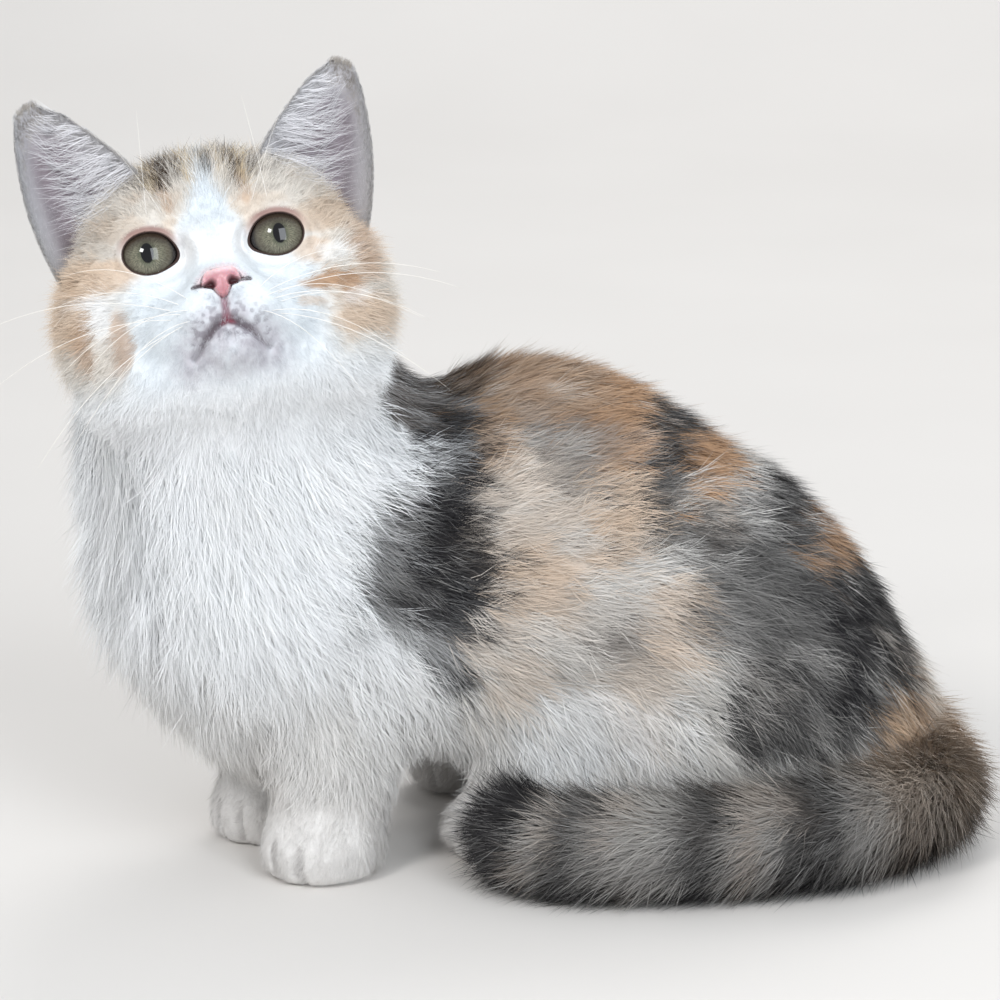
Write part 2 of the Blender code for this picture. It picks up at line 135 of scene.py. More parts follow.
# How the coat lies on the near side: place, direction, hair length and depth of the coat
COMBS = [
    ((-35, -10, 132), (0.9, 0.0, -0.3), 9, 3.0),
    ((-14, -2, 124), (1.0, 0.0, 0.0), 10, 3.2),
    ((15, 0, 127), (1.0, 0.0, -0.12), 10, 3.2),
    ((45, 2, 115), (0.95, 0.0, -0.4), 10, 3.2),
    ((75, 6, 94), (0.8, 0.0, -0.6), 11, 3.4),
    ((100, 8, 65), (0.5, 0.0, -0.9), 11, 3.4),
    ((116, 10, 34), (0.2, 0.0, -1.0), 11, 3.2),
    ((-20, -34, 115), (0.95, -0.2, 0.1), 9, 3.2),
    ((-8, -40, 112), (0.9, -0.1, 0.32), 9, 3.3),
    ((-16, -46, 95), (0.97, -0.1, -0.05), 10, 3.6),
    ((-16, -50, 70), (0.92, 0.0, -0.25), 10, 3.8),
    ((-22, -54, 46), (0.5, 0.0, -0.85), 11, 4.0),
    ((16, -30, 113), (1.0, 0.0, 0.18), 9, 3.3),
    ((16, -44, 87), (1.0, 0.0, 0.04), 10, 3.5),
    ((6, -48, 66), (1.0, 0.0, -0.06), 10, 3.7),
    ((27, -48, 60), (0.95, 0.0, -0.15), 10, 3.7),
    ((-4, -50, 36), (0.7, 0.0, -0.7), 11, 3.8),
    ((16, -48, 28), (0.55, 0.0, -0.8), 11, 3.8),
    ((37, -36, 100), (1.0, 0.0, 0.0), 10, 3.5),
    ((54, -28, 101), (0.97, 0.0, 0.02), 10, 3.5),
    ((74, -20, 88), (0.93, 0.0, -0.36), 10, 3.5),
    ((37, -50, 46), (0.8, 0.0, -0.5), 11, 3.8),
    ((58, -40, 66), (0.9, 0.0, -0.35), 11, 3.7),
    ((79, -38, 56), (0.75, 0.0, -0.6), 11, 3.6),
    ((38, -48, 28), (0.5, 0.0, -0.85), 11, 3.8),
    ((79, -42, 30), (0.5, 0.0, -0.85), 11, 3.6),
    ((100, -22, 50), (0.6, -0.1, -0.8), 11, 3.4),
    ((-108, -30, 110), (-0.2, 0.0, -1.0), 15, 5.5),
    ((-106, -34, 80), (-0.15, 0.0, -1.0), 17, 6.5),
    ((-96, -30, 55), (0.15, 0.0, -1.0), 16, 6.0),
    ((-82, -26, 36), (0.35, 0.0, -1.0), 13, 4.5),
    ((-84, -58, 110), (0.0, -0.3, -1.0), 15, 5.5),
    ((-84, -62, 85), (0.05, -0.2, -1.0), 17, 6.5),
    ((-76, -60, 60), (0.1, 0.0, -1.0), 16, 6.0),
    ((-58, -62, 112), (0.35, -0.2, -0.8), 13, 5.0),
    ((-52, -62, 85), (0.45, -0.1, -0.8), 14, 5.5),
    ((-48, -58, 60), (0.35, 0.0, -0.9), 14, 5.2),
    ((-34, -56, 98), (0.8, -0.1, -0.45), 12, 4.5),
    ((-34, -58, 74), (0.75, -0.1, -0.6), 12, 4.5),
    ((-28, -54, 45), (0.3, 0.0, -1.0), 12, 4.0),
    ((-72, -66, 132), (0.0, -0.2, -1.0), 11, 3.5),
    ((-36, -52, 130), (0.6, -0.2, -0.8), 11, 3.5),
    ((-110, -20, 132), (-0.2, 0.2, -1.0), 12, 4.0),
    ((-44, -46, 34), (0.05, 0.0, -1.0), 8, 2.2),
    ((-44, -52, 16), (-0.1, -0.2, -1.0), 5, 1.3),
    ((-56, -50, 9), (-0.7, -0.6, -0.5), 2.5, 0.6),
    ((-60, -16, 30), (0.0, 0.0, -1.0), 8, 2.2),
    ((-74, -18, 9), (-0.7, -0.5, -0.5), 2.5, 0.6),
    ((-8, -32, 12), (-1.0, 0.0, -0.2), 4, 1.0),
    ((20, -38, 12), (-1.0, -0.1, -0.1), 6, 1.6),
    ((0, -6, 14), (0.8, 0.0, -0.2), 9, 3.0),
    ((60, -6, 4), (1.0, 0.0, 0.0), 8, 2.0),
]
COMB_REACH = 13.0

# Colours of the coat and of the bare parts, as linear light
WHITE = (0.88, 0.89, 0.90)
FACE_WHITE = (0.74, 0.785, 0.82)
CREAM = (0.575, 0.55, 0.515)
FACE_CREAM = (0.70, 0.64, 0.565)
PEACH = (0.64, 0.48, 0.345)
ORANGE = (0.47, 0.29, 0.17)
GOLD = (0.55, 0.42, 0.24)
FAWN = (0.34, 0.24, 0.16)
TAN = (0.41, 0.265, 0.16)
SLATE = (0.26, 0.24, 0.225)
SMOKE = (0.10, 0.097, 0.095)
CHARCOAL = (0.020, 0.019, 0.021)
UMBER = (0.060, 0.042, 0.030)
PINK = (0.70, 0.36, 0.36)
MAUVE = (0.42, 0.30, 0.33)
LID_BAND = (0.27, 0.155, 0.135)
LID_DARK = (0.030, 0.018, 0.015)
LIP = (0.105, 0.080, 0.095)
LIP_RED = (0.22, 0.05, 0.075)
# painted shade for the white chin
CHIN_SHADE = (0.52, 0.505, 0.54)
PHILTRUM = (0.46, 0.27, 0.32)

# Patches of the body in the order they are laid: colour, place, half sizes and strength
PATCHES = [
    (PEACH, (14, -40, 94), (28, 26, 18), 0.4),
    (TAN, (12, 0, 122), (27, 36, 13), 0.85),
    (TAN, (-1, -35, 117), (9, 16, 15), 0.75),
    (ORANGE, (29, -22, 112), (10, 26, 13), 0.85),
    (PEACH, (28, -42, 95), (8, 18, 13), 0.65),
    (SLATE, (15, -32, 113), (8, 16, 10), 0.65),
    (SLATE, (21, -30, 106), (5, 14, 6), 0.5),
    (PEACH, (9, -46, 76), (13, 16, 10), 0.55),
    (PEACH, (5, -48, 56), (11, 16, 10), 0.35),
    (CHARCOAL, (46, -12, 108), (12, 26, 8), 0.9),
    (CHARCOAL, (40, -34, 98), (8, 18, 12), 0.85),
    (ORANGE, (57, -18, 103), (10, 26, 7), 0.95),
    (CHARCOAL, (57, -28, 89), (12, 20, 7), 0.85),
    (CHARCOAL, (76, -8, 90), (15, 26, 7), 0.95),
    (ORANGE, (87, -14, 84), (6, 22, 4.5), 0.9),
    (SMOKE, (66, -38, 71), (17, 24, 18), 0.85),
    (CHARCOAL, (88, -16, 69), (15, 28, 13), 0.9),
    (SMOKE, (72, -20, 79), (13, 24, 9), 0.8),
    (SMOKE, (79, -34, 57), (15, 22, 12), 0.85),
    (ORANGE, (88, -8, 79), (8, 20, 5), 0.8),
    (PEACH, (45, -47, 66), (10, 20, 12), 0.5),
    (SLATE, (30, -47, 62), (6, 16, 9), 0.75),
    (SLATE, (22, -47, 50), (5, 14, 5), 0.4),
    (CHARCOAL, (98, -18, 53), (16, 34, 20), 0.95),
    (CHARCOAL, (79, -38, 40), (24, 24, 13), 0.92),
    (WHITE, (20, -48, 38), (20, 24, 13), 0.55),
    (WHITE, (42, -50, 34), (10, 22, 9), 0.5),
    (TAN, (109, -18, 31), (10, 22, 9), 0.9),
    (PEACH, (107, -26, 34), (5, 16, 5), 0.7),
    (SMOKE, (-22, -50, 88), (17, 22, 19), 0.9),
    (SMOKE, (-24, -54, 71), (14, 20, 12), 0.75),
    (CHARCOAL, (-12, -42, 110), (10, 24, 16), 0.95),
    (CHARCOAL, (-10, -48, 88), (11, 22, 22), 0.95),
    (CHARCOAL, (-14, -50, 61), (10, 20, 17), 0.92),
    (UMBER, (-22, -16, 126), (13, 38, 12), 0.9),
    (ORANGE, (-17, -36, 122), (5, 16, 5), 0.8),
]

# Bars of the cheeks: colour, middle and half sizes on the face plane, and strength
CHEEK_BARS = [
    (PEACH, (-30, -5), (12, 4.5), 0.75), (PEACH, (-38, -14), (6, 8), 0.7),
    (WHITE, (-30, -15), (3, 7), 0.7), (ORANGE, (-35, -22), (2.2, 8), 0.6),
    (ORANGE, (-26, -22), (2.4, 8), 0.6), (WHITE, (-33, -10), (6, 1.2), 0.6),
    (PEACH, (-22, 6), (7, 3), 0.30), (PEACH, (28, 2), (11, 4.5), 0.6),
    (ORANGE, (37, -7), (3.5, 8), 0.6), (ORANGE, (28, -13.5), (8, 1.8), 0.9),
    (ORANGE, (33, -16), (3, 3), 0.8), (PEACH, (24, -6), (6, 3), 0.65),
    (WHITE, (30, -7), (5, 2.0), 0.6), (WHITE, (34, -18.5), (4, 2), 0.5),
    (PEACH, (35, -24), (8, 5), 0.7), (PEACH, (22, -19), (4, 1.5), 0.5),
    (ORANGE, (-9.5, 12), (1.5, 5), 0.55), (ORANGE, (10, 12), (1.6, 5), 0.5),
]

# Streaks of the crown: colour, place across, half width, where they start and strength
CROWN_STREAKS = [
    (UMBER, -14.8, 1.2, 14, 0.85), (UMBER, -9.8, 1.6, 13, 1.0), (GOLD, -12.2, 1.0, 13, 0.7),
    (GOLD, -3.2, 1.0, 13, 0.8), (UMBER, -6.0, 0.9, 15, 0.85), (SMOKE, 1.4, 1.1, 14, 0.9),
    (GOLD, 4.6, 0.9, 14, 0.7), (UMBER, 8.2, 1.7, 12, 1.0), (GOLD, 11.0, 0.9, 12, 0.7),
    (UMBER, 13.8, 1.1, 14, 0.85), (SMOKE, -19.0, 1.0, 13, 0.5), (SMOKE, 18.5, 1.0, 13, 0.5),
]


def unit(vectors):
    """Vectors scaled to length one."""
    return vectors / np.maximum(np.linalg.norm(vectors, axis=-1, keepdims=True), 1e-9)


def ease(low, high, value):
    """Zero below low, one above high and 3t^2 - 2t^3 between."""
    t = np.clip((value - low) / (high - low), 0, 1)
    return t * t * (3 - 2 * t)


def blend(first, second, share):
    """The first for a share of 0 and the second for 1, in step with it between."""
    share = np.asarray(share)[..., None]
    return first * (1 - share) + np.asarray(second) * share


def dice(shape, seed):
    """Even random numbers from 0 to 1, the same in each run."""
    return np.random.default_rng(seed).random(shape)


def cloud(points, size, seed):
    """Smooth noise from -1 to 1: lattice values a size apart, blended by a cubic fade."""
    place = points / size + 31.7 * seed
    cell = np.floor(place).astype(np.int64)
    fade = ease(0, 1, place - cell)
    total = np.zeros(len(points))
    for corner in np.ndindex(2, 2, 2):
        corner = np.array(corner)
        share = np.prod(np.where(corner == 1, fade, 1 - fade), axis=1)
        key = (cell + corner) @ np.array([73856093, 19349663, 83492791])
        key = (key ^ (key >> 13)) * 1274126177 & 0xFFFFFFF
        total += share * ((key >> 8 & 0xFFFF) / 32767.5 - 1)
    return total


def smooth_through(keys, count):
    """Points evenly along a Catmull-Rom curve through the keys."""
    keys = np.asarray(keys, float)
    padded = np.vstack([2 * keys[0] - keys[1], keys, 2 * keys[-1] - keys[-2]])
    spans = len(keys) - 1
    t = np.linspace(0, spans, spans * 24 + 1)
    i = np.minimum(t.astype(int), spans - 1)
    u = (t - i)[:, None]
    a, b, c, d = (padded[i + step] for step in range(4))
    curve = 0.5 * (2 * b + (c - a) * u + (2 * a - 5 * b + 4 * c - d) * u**2
                   + (3 * b - a - 3 * c + d) * u**3)
    length = np.concatenate([[0], np.cumsum(np.linalg.norm(np.diff(curve, axis=0), axis=1))])
    even = np.linspace(0, length[-1], count)
    return np.column_stack([np.interp(even, length, column) for column in curve.T])


def head_axes():
    """Rows: the head's forward, left and up directions."""
    yaw, pitch, roll = np.radians([HEAD_YAW, HEAD_PITCH, HEAD_ROLL])
    forward = np.array([np.sin(yaw) * np.cos(pitch), -np.cos(yaw) * np.cos(pitch),
                        np.sin(pitch)])
    level_left = np.array([np.cos(yaw), np.sin(yaw), 0.0])
    level_up = np.cross(forward, level_left)
    left = np.cos(roll) * level_left + np.sin(roll) * level_up
    return np.array([forward, left, np.cross(forward, left)])


def node_middle(node):
    """The middle of a CAD node's box, in the pose's frame."""
    low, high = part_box(node)
    return (np.array(low) + np.array(high)) / 2 / MM - POSE_SHIFT


AXES = head_axes()
EYES_MIDDLE = (node_middle("eye_left") + node_middle("eye_right")) / 2 + EYE_DEPTH * AXES[0]
EYES_MIDDLE = EYES_MIDDLE + FACE_SHIFT * AXES[1]


def to_head(points):
    """Pose frame to the head's forward, left and up."""
    return (points - EYES_MIDDLE) @ AXES.T


def from_head(points):
    """The head's forward, left and up to the pose frame."""
    return EYES_MIDDLE + np.asarray(points, float) @ AXES


def face_plane(head):
    """Left, and height as it shows from a little below the face, of points in the head's axes."""
    below = math.radians(CAMERA_BELOW_FACE)
    return head[:, 1], head[:, 2] * math.cos(below) + head[:, 0] * math.sin(below)


def camera_place():
    """Where the camera stands, in the pose's frame."""
    tilt = math.radians(CAMERA_ELEVATION)
    back = np.array([0.0, -math.cos(tilt), math.sin(tilt)])
    return np.array(CAMERA_TARGET) + CAMERA_DISTANCE * back


def face_views():
    """Directions in the head's axes: towards a point a little below the face, left, and up
    as seen from there."""
    below = math.radians(CAMERA_BELOW_FACE)
    return np.array([[math.cos(below), 0, -math.sin(below)], [0, 1, 0],
                     [math.sin(below), 0, math.cos(below)]])


def eye_middle(side):
    """An eyeball's middle in the head's axes."""
    return np.array([-EYE_DEPTH, side * EYE_SIDE, EYE_RAISED])


def opening(head, side):
    """How far points are outside an eye's opening, in millimetres; negative inside it.

    Points are laid on the plane square to the view from a little below the face. There the
    opening is an ellipse that is drawn out towards the tear duct, by a bell of the bearing.
    Also gives the points' height over the plane through the eyeball's middle, their distance
    from the line of sight through it, and how far up they are on the opening.
    """
    height, a, b = face_views() @ (head - eye_middle(side)).T
    reach = np.hypot(a, b)
    a, b = a * side - OPENING_SHIFT[0], b - OPENING_SHIFT[1]
    middle, width, drawn = OPENING_CORNER
    corner = 1 + drawn * np.exp(-((np.arctan2(b, -a) - middle) / width) ** 2)
    ratio = np.hypot(a / OPENING_HALF[0], b / OPENING_HALF[1]) / corner
    outside = (ratio - 1) * 0.5 * sum(OPENING_HALF)
    return np.where(height < -5, 99.0, outside), height, reach, np.clip(b / 5.3, 0, 1)


def nearest_opening(head):
    """The distance outside the nearer eye's opening, and how far up on it."""
    first, second = opening(head, 1), opening(head, -1)
    nearer = first[0] < second[0]
    return np.where(nearer, first[0], second[0]), np.where(nearer, first[3], second[3])


def from_path(points, path):
    """Distance of plane points from a chain of straight pieces."""
    best = np.full(len(points), 1e9)
    for first, second in zip(path, path[1:]):
        first, second = np.array(first, float), np.array(second, float)
        span = second - first
        t = np.clip((points - first) @ span / (span @ span), 0, 1)
        best = np.minimum(best, np.linalg.norm(points - first - t[:, None] * span, axis=1))
    return best


def mouth_distance(head):
    """Distance across the front of the muzzle from the mouth line and the philtrum."""
    front = np.column_stack([np.abs(head[:, 1]), head[:, 2]])
    philtrum = [(0.0, PHILTRUM_TOP), MOUTH_MIDDLE]
    distance = np.minimum(from_path(front, MOUTH_PATH), from_path(front, philtrum) + 0.25)
    return np.where(head[:, 0] > -8, distance, 99.0)


def fold_distance(head):
    """Distance across the front of the muzzle from the lines outside the nostrils."""
    distance = from_path(np.column_stack([np.abs(head[:, 1]), head[:, 2]]), NOSTRIL_FOLD)
    return np.where(head[:, 0] > 2, distance, 99.0)


def nose_share(head):
    """1 behind the middle of the nose leather and 0 outside its outline."""
    up = head[:, 2] - NOSE_MIDDLE[2]
    wide = np.interp(up, NOSE_HEIGHTS, NOSE_WIDTHS, 0, 0)
    return ease(0.1, -0.7, np.abs(head[:, 1]) - wide) * (head[:, 0] > 5)


def link(name, mesh):
    """An object for a mesh, in the scene and riding on the body."""
    piece = bpy.data.objects.new(name, mesh)
    bpy.context.scene.collection.objects.link(piece)
    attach(piece, "root")
    return piece


def write_mesh(name, points, corners, starts):
    """A mesh in metres from points, the corners of its faces and where each face starts."""
    mesh = bpy.data.meshes.new(name)
    mesh.vertices.add(len(points))
    metres = (points + POSE_SHIFT) * MM
    mesh.vertices.foreach_set("co", metres.astype(np.float32).ravel())
    mesh.loops.add(len(corners))
    mesh.loops.foreach_set("vertex_index", corners.astype(np.int32))
    mesh.polygons.add(len(starts))
    mesh.polygons.foreach_set("loop_start", starts.astype(np.int32))
    mesh.update(calc_edges=True)
    mesh.polygons.foreach_set("use_smooth", np.ones(len(starts), bool))
    return mesh


def sheet_faces(rows, columns, closed):
    """Quads of a grid of points, row by row, whose rows may close on themselves."""
    i = np.arange(rows - 1)[:, None]
    j = np.arange(columns if closed else columns - 1)[None, :]
    k = (j + 1) % columns
    quads = np.stack([i * columns + j, i * columns + k, (i + 1) * columns + k,
                      (i + 1) * columns + j], axis=-1)
    return quads.reshape(-1, 4)


def sheet_mesh(name, grid, closed=False):
    """A mesh of a grid of points with shape (rows, columns, 3)."""
    quads = sheet_faces(grid.shape[0], grid.shape[1], closed)
    return write_mesh(name, grid.reshape(-1, 3), quads.ravel(), np.arange(len(quads)) * 4)


def store(mesh, name, values):
    """Keep a colour or a vector for each point under a name."""
    values = np.asarray(values, np.float32)
    field = mesh.attributes.new(name, "FLOAT_VECTOR", "POINT")
    field.data.foreach_set("vector", values.ravel())


def read(mesh, what):
    """Points or normals of a mesh; points in the pose's frame."""
    values = np.empty(len(mesh.vertices) * 3, np.float32)
    mesh.vertices.foreach_get(what, values)
    values = values.reshape(-1, 3).astype(float)
    return values / MM - POSE_SHIFT if what == "co" else values


def edges_of(mesh):
    """Pairs of point numbers, one pair for each edge."""
    pairs = np.empty(len(mesh.edges) * 2, np.int32)
    mesh.edges.foreach_get("vertices", pairs)
    return pairs.reshape(-1, 2)


def relaxed(values, pairs, rounds, share):
    """Values at points moved towards their neighbours' mean by a share, round after round."""
    count = np.maximum(np.bincount(pairs.ravel(), minlength=len(values)), 1)[:, None]
    for _ in range(rounds):
        total = np.column_stack([
            np.bincount(pairs[:, 0], column[pairs[:, 1]], len(values))
            + np.bincount(pairs[:, 1], column[pairs[:, 0]], len(values))
            for column in values.T])
        values = values + share * (total / count - values)
    return values


def move(mesh, points):
    """Give a mesh new places for its points."""
    metres = (points + POSE_SHIFT) * MM
    mesh.vertices.foreach_set("co", metres.astype(np.float32).ravel())
    mesh.update()


class Signal:
    """A socket's value in an expression: each operator adds one Math node."""

    def __init__(self, finish, socket):
        self.finish = finish
        self.socket = socket

    def maths(self, operation, *values):
        return self.finish.node("ShaderNodeMath", {"operation": operation},
                                dict(enumerate(values)))

    def __add__(self, other):
        return self.maths("ADD", self, other)

    def __radd__(self, other):
        return self.maths("ADD", other, self)

    def __sub__(self, other):
        return self.maths("SUBTRACT", self, other)

    def __rsub__(self, other):
        return self.maths("SUBTRACT", other, self)

    def __mul__(self, other):
        return self.maths("MULTIPLY", self, other)

    def __rmul__(self, other):
        return self.maths("MULTIPLY", other, self)

    def __pow__(self, other):
        return self.maths("POWER", self, other)


class Finish:
    """A material being made, with one method that adds any node to it."""

    def __init__(self, name, **constants):
        self.material = bpy.data.materials.new(name)
        self.material.use_nodes = True
        self.tree = self.material.node_tree
        self.surface = self.tree.nodes["Principled BSDF"]
        for key, value in constants.items():
            self.surface.inputs[key.replace("_", " ")].default_value = value

    def put(self, socket, value):
        """Link a signal to a socket, or set a plain value on it."""
        if isinstance(value, Signal):
            self.tree.links.new(value.socket, socket)
        else:
            socket.default_value = value

    def node(self, kind, settings, sockets, output=0):
        """Add a node: its settings first, then its sockets; gives the output asked for."""
        made = self.tree.nodes.new(kind)
        for key, value in settings.items():
            if key == "stops":
                self.set_stops(made.color_ramp, value)
            else:
                setattr(made, key, value)
        for key, value in sockets.items():
            self.put(made.inputs[key], value)
        return Signal(self, made.outputs[output])

    def set_stops(self, ramp, stops):
        """Give a colour ramp its places and colours."""
        while len(ramp.elements) < len(stops):
            ramp.elements.new(1.0)
        for element, (place, colour) in zip(ramp.elements, stops):
            element.position = place
            element.color = (*colour, 1.0)

    def field(self, name, output="Vector"):
        """What the mesh keeps under a name."""
        return self.node("ShaderNodeAttribute", {"attribute_name": name}, {}, output)

    def parts(self, vector):
        """The three numbers of a vector."""
        first = self.node("ShaderNodeSeparateXYZ", {}, {"Vector": vector})
        outputs = first.socket.node.outputs
        return [Signal(self, outputs[i]) for i in range(3)]

    def between(self, share, first, second, way="MIX"):
        """Mix two colours by a share."""
        first = (*first, 1.0) if isinstance(first, tuple) else first
        second = (*second, 1.0) if isinstance(second, tuple) else second
        return self.node("ShaderNodeMix", {"data_type": "RGBA", "blend_type": way},
                         {0: share, 6: first, 7: second}, 2)

    def scaled(self, colour, factor):
        """A colour times a number."""
        return self.node("ShaderNodeVectorMath", {"operation": "SCALE"},
                         {"Vector": colour, "Scale": factor})

    def step(self, value, low, high):
        """A smooth step from 0 to 1 between low and high."""
        return self.node("ShaderNodeMapRange", {"interpolation_type": "SMOOTHSTEP"},
                         {"Value": value, "From Min": low, "From Max": high})

    def noise(self, vector, scale, detail=2.0, rough=0.5):
        """Noise from 0 to 1 at a scale given as lumps in each unit of the vector."""
        return self.node("ShaderNodeTexNoise", {},
                         {"Vector": vector, "Scale": scale, "Detail": detail,
                          "Roughness": rough})

    def place(self):
        """The point's place on the model, in metres."""
        return self.node("ShaderNodeTexCoord", {}, {}, "Object")

    def bump(self, height, strength, distance):
        """Feed a height to the surface as bump."""
        normal = self.node("ShaderNodeBump", {},
                           {"Height": height, "Strength": strength, "Distance": distance})
        self.put(self.surface.inputs["Normal"], normal)

    def colour(self, value):
        """Feed a colour to the surface."""
        self.put(self.surface.inputs["Base Color"], value)


def skin_finish():
    """Down-covered skin: the coat's colours, a fine nap and moist bare rims."""
    made = Finish("skin", Specular_IOR_Level=0.3)
    place = made.place()
    pigment = made.field("pigment")
    bare = made.parts(made.field("detail"))[0]
    nap = made.noise(place, 1400.0, 3.0)
    fine = made.noise(place, 420.0, 2.0)
    shade = 0.78 + 0.16 * nap + 0.16 * fine
    down = made.scaled(pigment, shade)
    naked = made.scaled(pigment, 0.85 + 0.3 * fine)
    made.colour(made.between(bare, down, naked))
    made.put(made.surface.inputs["Roughness"], 0.85 - 0.2 * bare)
    made.bump((nap + fine) * (1.0 - 0.9 * bare), 0.5, 0.0004)
    return made.material


def coat_finish():
    """Hair: its root's pigment, darker at the foot as painted shade among the hairs, with pale
    ticks and a shade of its own.
    """
    made = Finish("coat", Specular_IOR_Level=0.0)
    along, chance, tick = made.parts(made.field("strand"))
    pigment = made.field("pigment")
    lively = 0.40 - 0.30 * made.parts(pigment)[1]
    own = made.scaled(pigment, 1.0 + lively * (chance - 0.5))
    # painted shade: each hair darkens towards its root, where the hairs shade one another
    foot = made.scaled(own, 0.86 + 0.14 * made.step(along, 0.0, 0.55))
    band = made.step(along, 0.40, 0.70)
    made.colour(made.between(band * tick, foot, (0.41, 0.40, 0.385)))
    made.put(made.surface.inputs["Roughness"], 0.55 + 0.2 * chance)
    return made.material


def eye_finish():
    """A wet eye: a slit pupil, olive iris fibres, a dark rim and a clear polish over all."""
    made = Finish("wet eye", Roughness=0.5, Coat_Weight=1.0, Coat_Roughness=0.045,
                  Coat_IOR=1.5, Specular_IOR_Level=0.0)
    across, upward, _ = made.parts(made.field("gaze"))
    radius = (across * across + upward * upward) ** 0.5
    wide, high = across * (1 / 1.6), upward * (1 / 2.5)
    slit = (wide * wide + high * high) ** 0.5
    angle = made.node("ShaderNodeMath", {"operation": "ARCTAN2"}, {0: upward, 1: across})
    spokes = made.node("ShaderNodeCombineXYZ", {}, {0: angle * 3.2, 1: radius * 0.25})
    fibres = made.noise(spokes, 4.5, 4.0, 0.65)
    flecks = made.noise(made.field("gaze"), 1.1, 3.0)
    iris = made.between(made.step(fibres, 0.25, 0.75), (0.050, 0.048, 0.034),
                        (0.25, 0.24, 0.17))
    iris = made.between(0.5 * made.step(flecks, 0.45, 0.75), iris, (0.085, 0.088, 0.065))
    outer = made.step(radius, 3.2, 5.4)
    iris = made.between(0.65 * outer, iris, (0.070, 0.056, 0.040))
    glow = made.step(slit, 1.0, 1.7)
    iris = made.between(0.6 * (1.0 - glow), iris, (0.055, 0.065, 0.04))
    # painted shadow of the upper lid: the iris darkens towards its top
    shaded = made.step(upward, 0.2, 4.4)
    iris = made.between(0.85 * shaded, iris, (0.026, 0.015, 0.011))
    rim = made.step(radius, 5.2, 6.5)
    iris = made.between(rim, iris, (0.009, 0.007, 0.007))
    pupil = made.step(slit, 0.92, 1.08)
    made.colour(made.between(pupil, (0.002, 0.002, 0.003), iris))
    return made.material


def rim_finish():
    """The lids' wet dark edges."""
    made = Finish("lid edge", Roughness=0.55, Specular_IOR_Level=0.2)
    lumps = made.noise(made.place(), 1500.0)
    made.colour(made.between(lumps, (0.020, 0.012, 0.010), (0.070, 0.040, 0.034)))
    made.bump(lumps, 0.3, 0.0002)
    return made.material


def leather_finish():
    """Nose leather: pink, pebbled and damp, with painted shade darkening the nostrils."""
    made = Finish("nose leather", Roughness=0.42, Coat_Weight=0.25, Coat_Roughness=0.25,
                  Subsurface_Weight=0.15, Subsurface_Scale=0.002)
    place = made.place()
    hollow, _, pale = made.parts(made.field("detail"))
    pebbles = made.node("ShaderNodeTexVoronoi", {}, {"Vector": place, "Scale": 1900.0})
    mottle = made.noise(place, 350.0)
    pink = made.between(mottle, (0.44, 0.18, 0.205), (0.58, 0.30, 0.33))
    pink = made.between(0.85 * pale, pink, (0.80, 0.63, 0.65))
    # painted shade: the nostril dents are painted near-black red
    made.colour(made.between(hollow, pink, (0.050, 0.008, 0.012)))
    made.bump(pebbles, 0.35, 0.0002)
    return made.material


def whisker_finish():
    """Whiskers: cream horn, a little glossy."""
    made = Finish("whisker", Roughness=0.35, Specular_IOR_Level=0.5)
    along = made.parts(made.field("strand"))[0]
    made.colour(made.between(along, (0.82, 0.80, 0.77), (0.88, 0.83, 0.75)))
    return made.material


def other_side(x, y):
    """The matching y on the far side: the body's middle line bends from -22 to +10."""
    middle = np.interp(x, [-80, -40, 0, 60, 115], [-26, -14, -2, 4, 11])
    return 2 * middle - y


def comb_table():
    """Both sides' combs as arrays: places, directions, lengths and depths."""
    places, ways, lengths, depths = (np.array(column, float) for column in zip(*COMBS))
    mirrored = places.copy()
    mirrored[:, 1] = other_side(places[:, 0], places[:, 1])
    turned_ways = ways * np.array([1, -1, 1])
    return (np.vstack([places, mirrored]), unit(np.vstack([ways, turned_ways])),
            np.tile(lengths, 2), np.tile(depths, 2))


def head_share(points):
    """1 on the head, 0 below the neck's slanted face, with a soft border."""
    head = to_head(points)
    near = ease(60, 50, np.linalg.norm(head - np.array(SKULL_MIDDLE), axis=1))
    level = points[:, 2] - (128 + 0.29 * (points[:, 1] + 38))
    return near * ease(-7, 5, level)


def head_lie(points):
    """Lie, length and depth of the head's coat: hair runs away from the nose, and gets
    longer with the distance from the muzzle and shorter towards the eyes."""
    head = to_head(points)
    way = unit(head - np.array(NOSE_MIDDLE) + np.array([6.0, 0, 0]))
    way = unit(way + np.array([-0.55, 0, -0.1]))
    reach = np.linalg.norm(head - np.array(MUZZLE_MIDDLE), axis=1)
    length = np.interp(reach, [0, 10, 20, 32, 46, 60], [1.2, 1.8, 3.4, 6.0, 9.0, 10.5])
    depth = np.interp(reach, [0, 10, 20, 32, 46, 60], [0.25, 0.4, 0.9, 1.7, 2.6, 3.0])
    lids, _ = nearest_opening(head)
    short = 0.35 + 0.65 * ease(0.0, 9.0, lids)
    return way @ AXES, length * short, depth * short


def body_lie(points, combs):
    """Lie, length and depth below the head: the combs' mean, weighed by a bell of the
    distance that is COMB_REACH wide."""
    places, ways, lengths, depths = combs
    apart = ((points[:, None, :] - places[None]) ** 2).sum(2)
    weight = np.exp(-apart / (2 * COMB_REACH**2)) + 1e-7 / (1 + apart)
    weight /= weight.sum(1, keepdims=True)
    return weight @ ways, weight @ lengths, weight @ depths


def coat_lie(points, combs):
    """Lie, length and depth of the coat anywhere on the skin but ears and tail."""
    share = head_share(points)
    head_way, head_length, head_depth = head_lie(points)
    way, length, depth = body_lie(points, combs)
    return (blend(way, head_way, share), blend(length[:, None], head_length[:, None], share)[:, 0],
            blend(depth[:, None], head_depth[:, None], share)[:, 0])


def laid(way, normal):
    """Directions pressed flat on the skin."""
    return unit(way - (way * normal).sum(1)[:, None] * normal)


def patch_share(points, centre, sizes):
    """1 inside an ellipsoid and 0 outside, with a soft edge."""
    ratio = np.linalg.norm((points - np.array(centre)) / np.array(sizes), axis=1)
    return ease(1.12, 0.82, ratio)


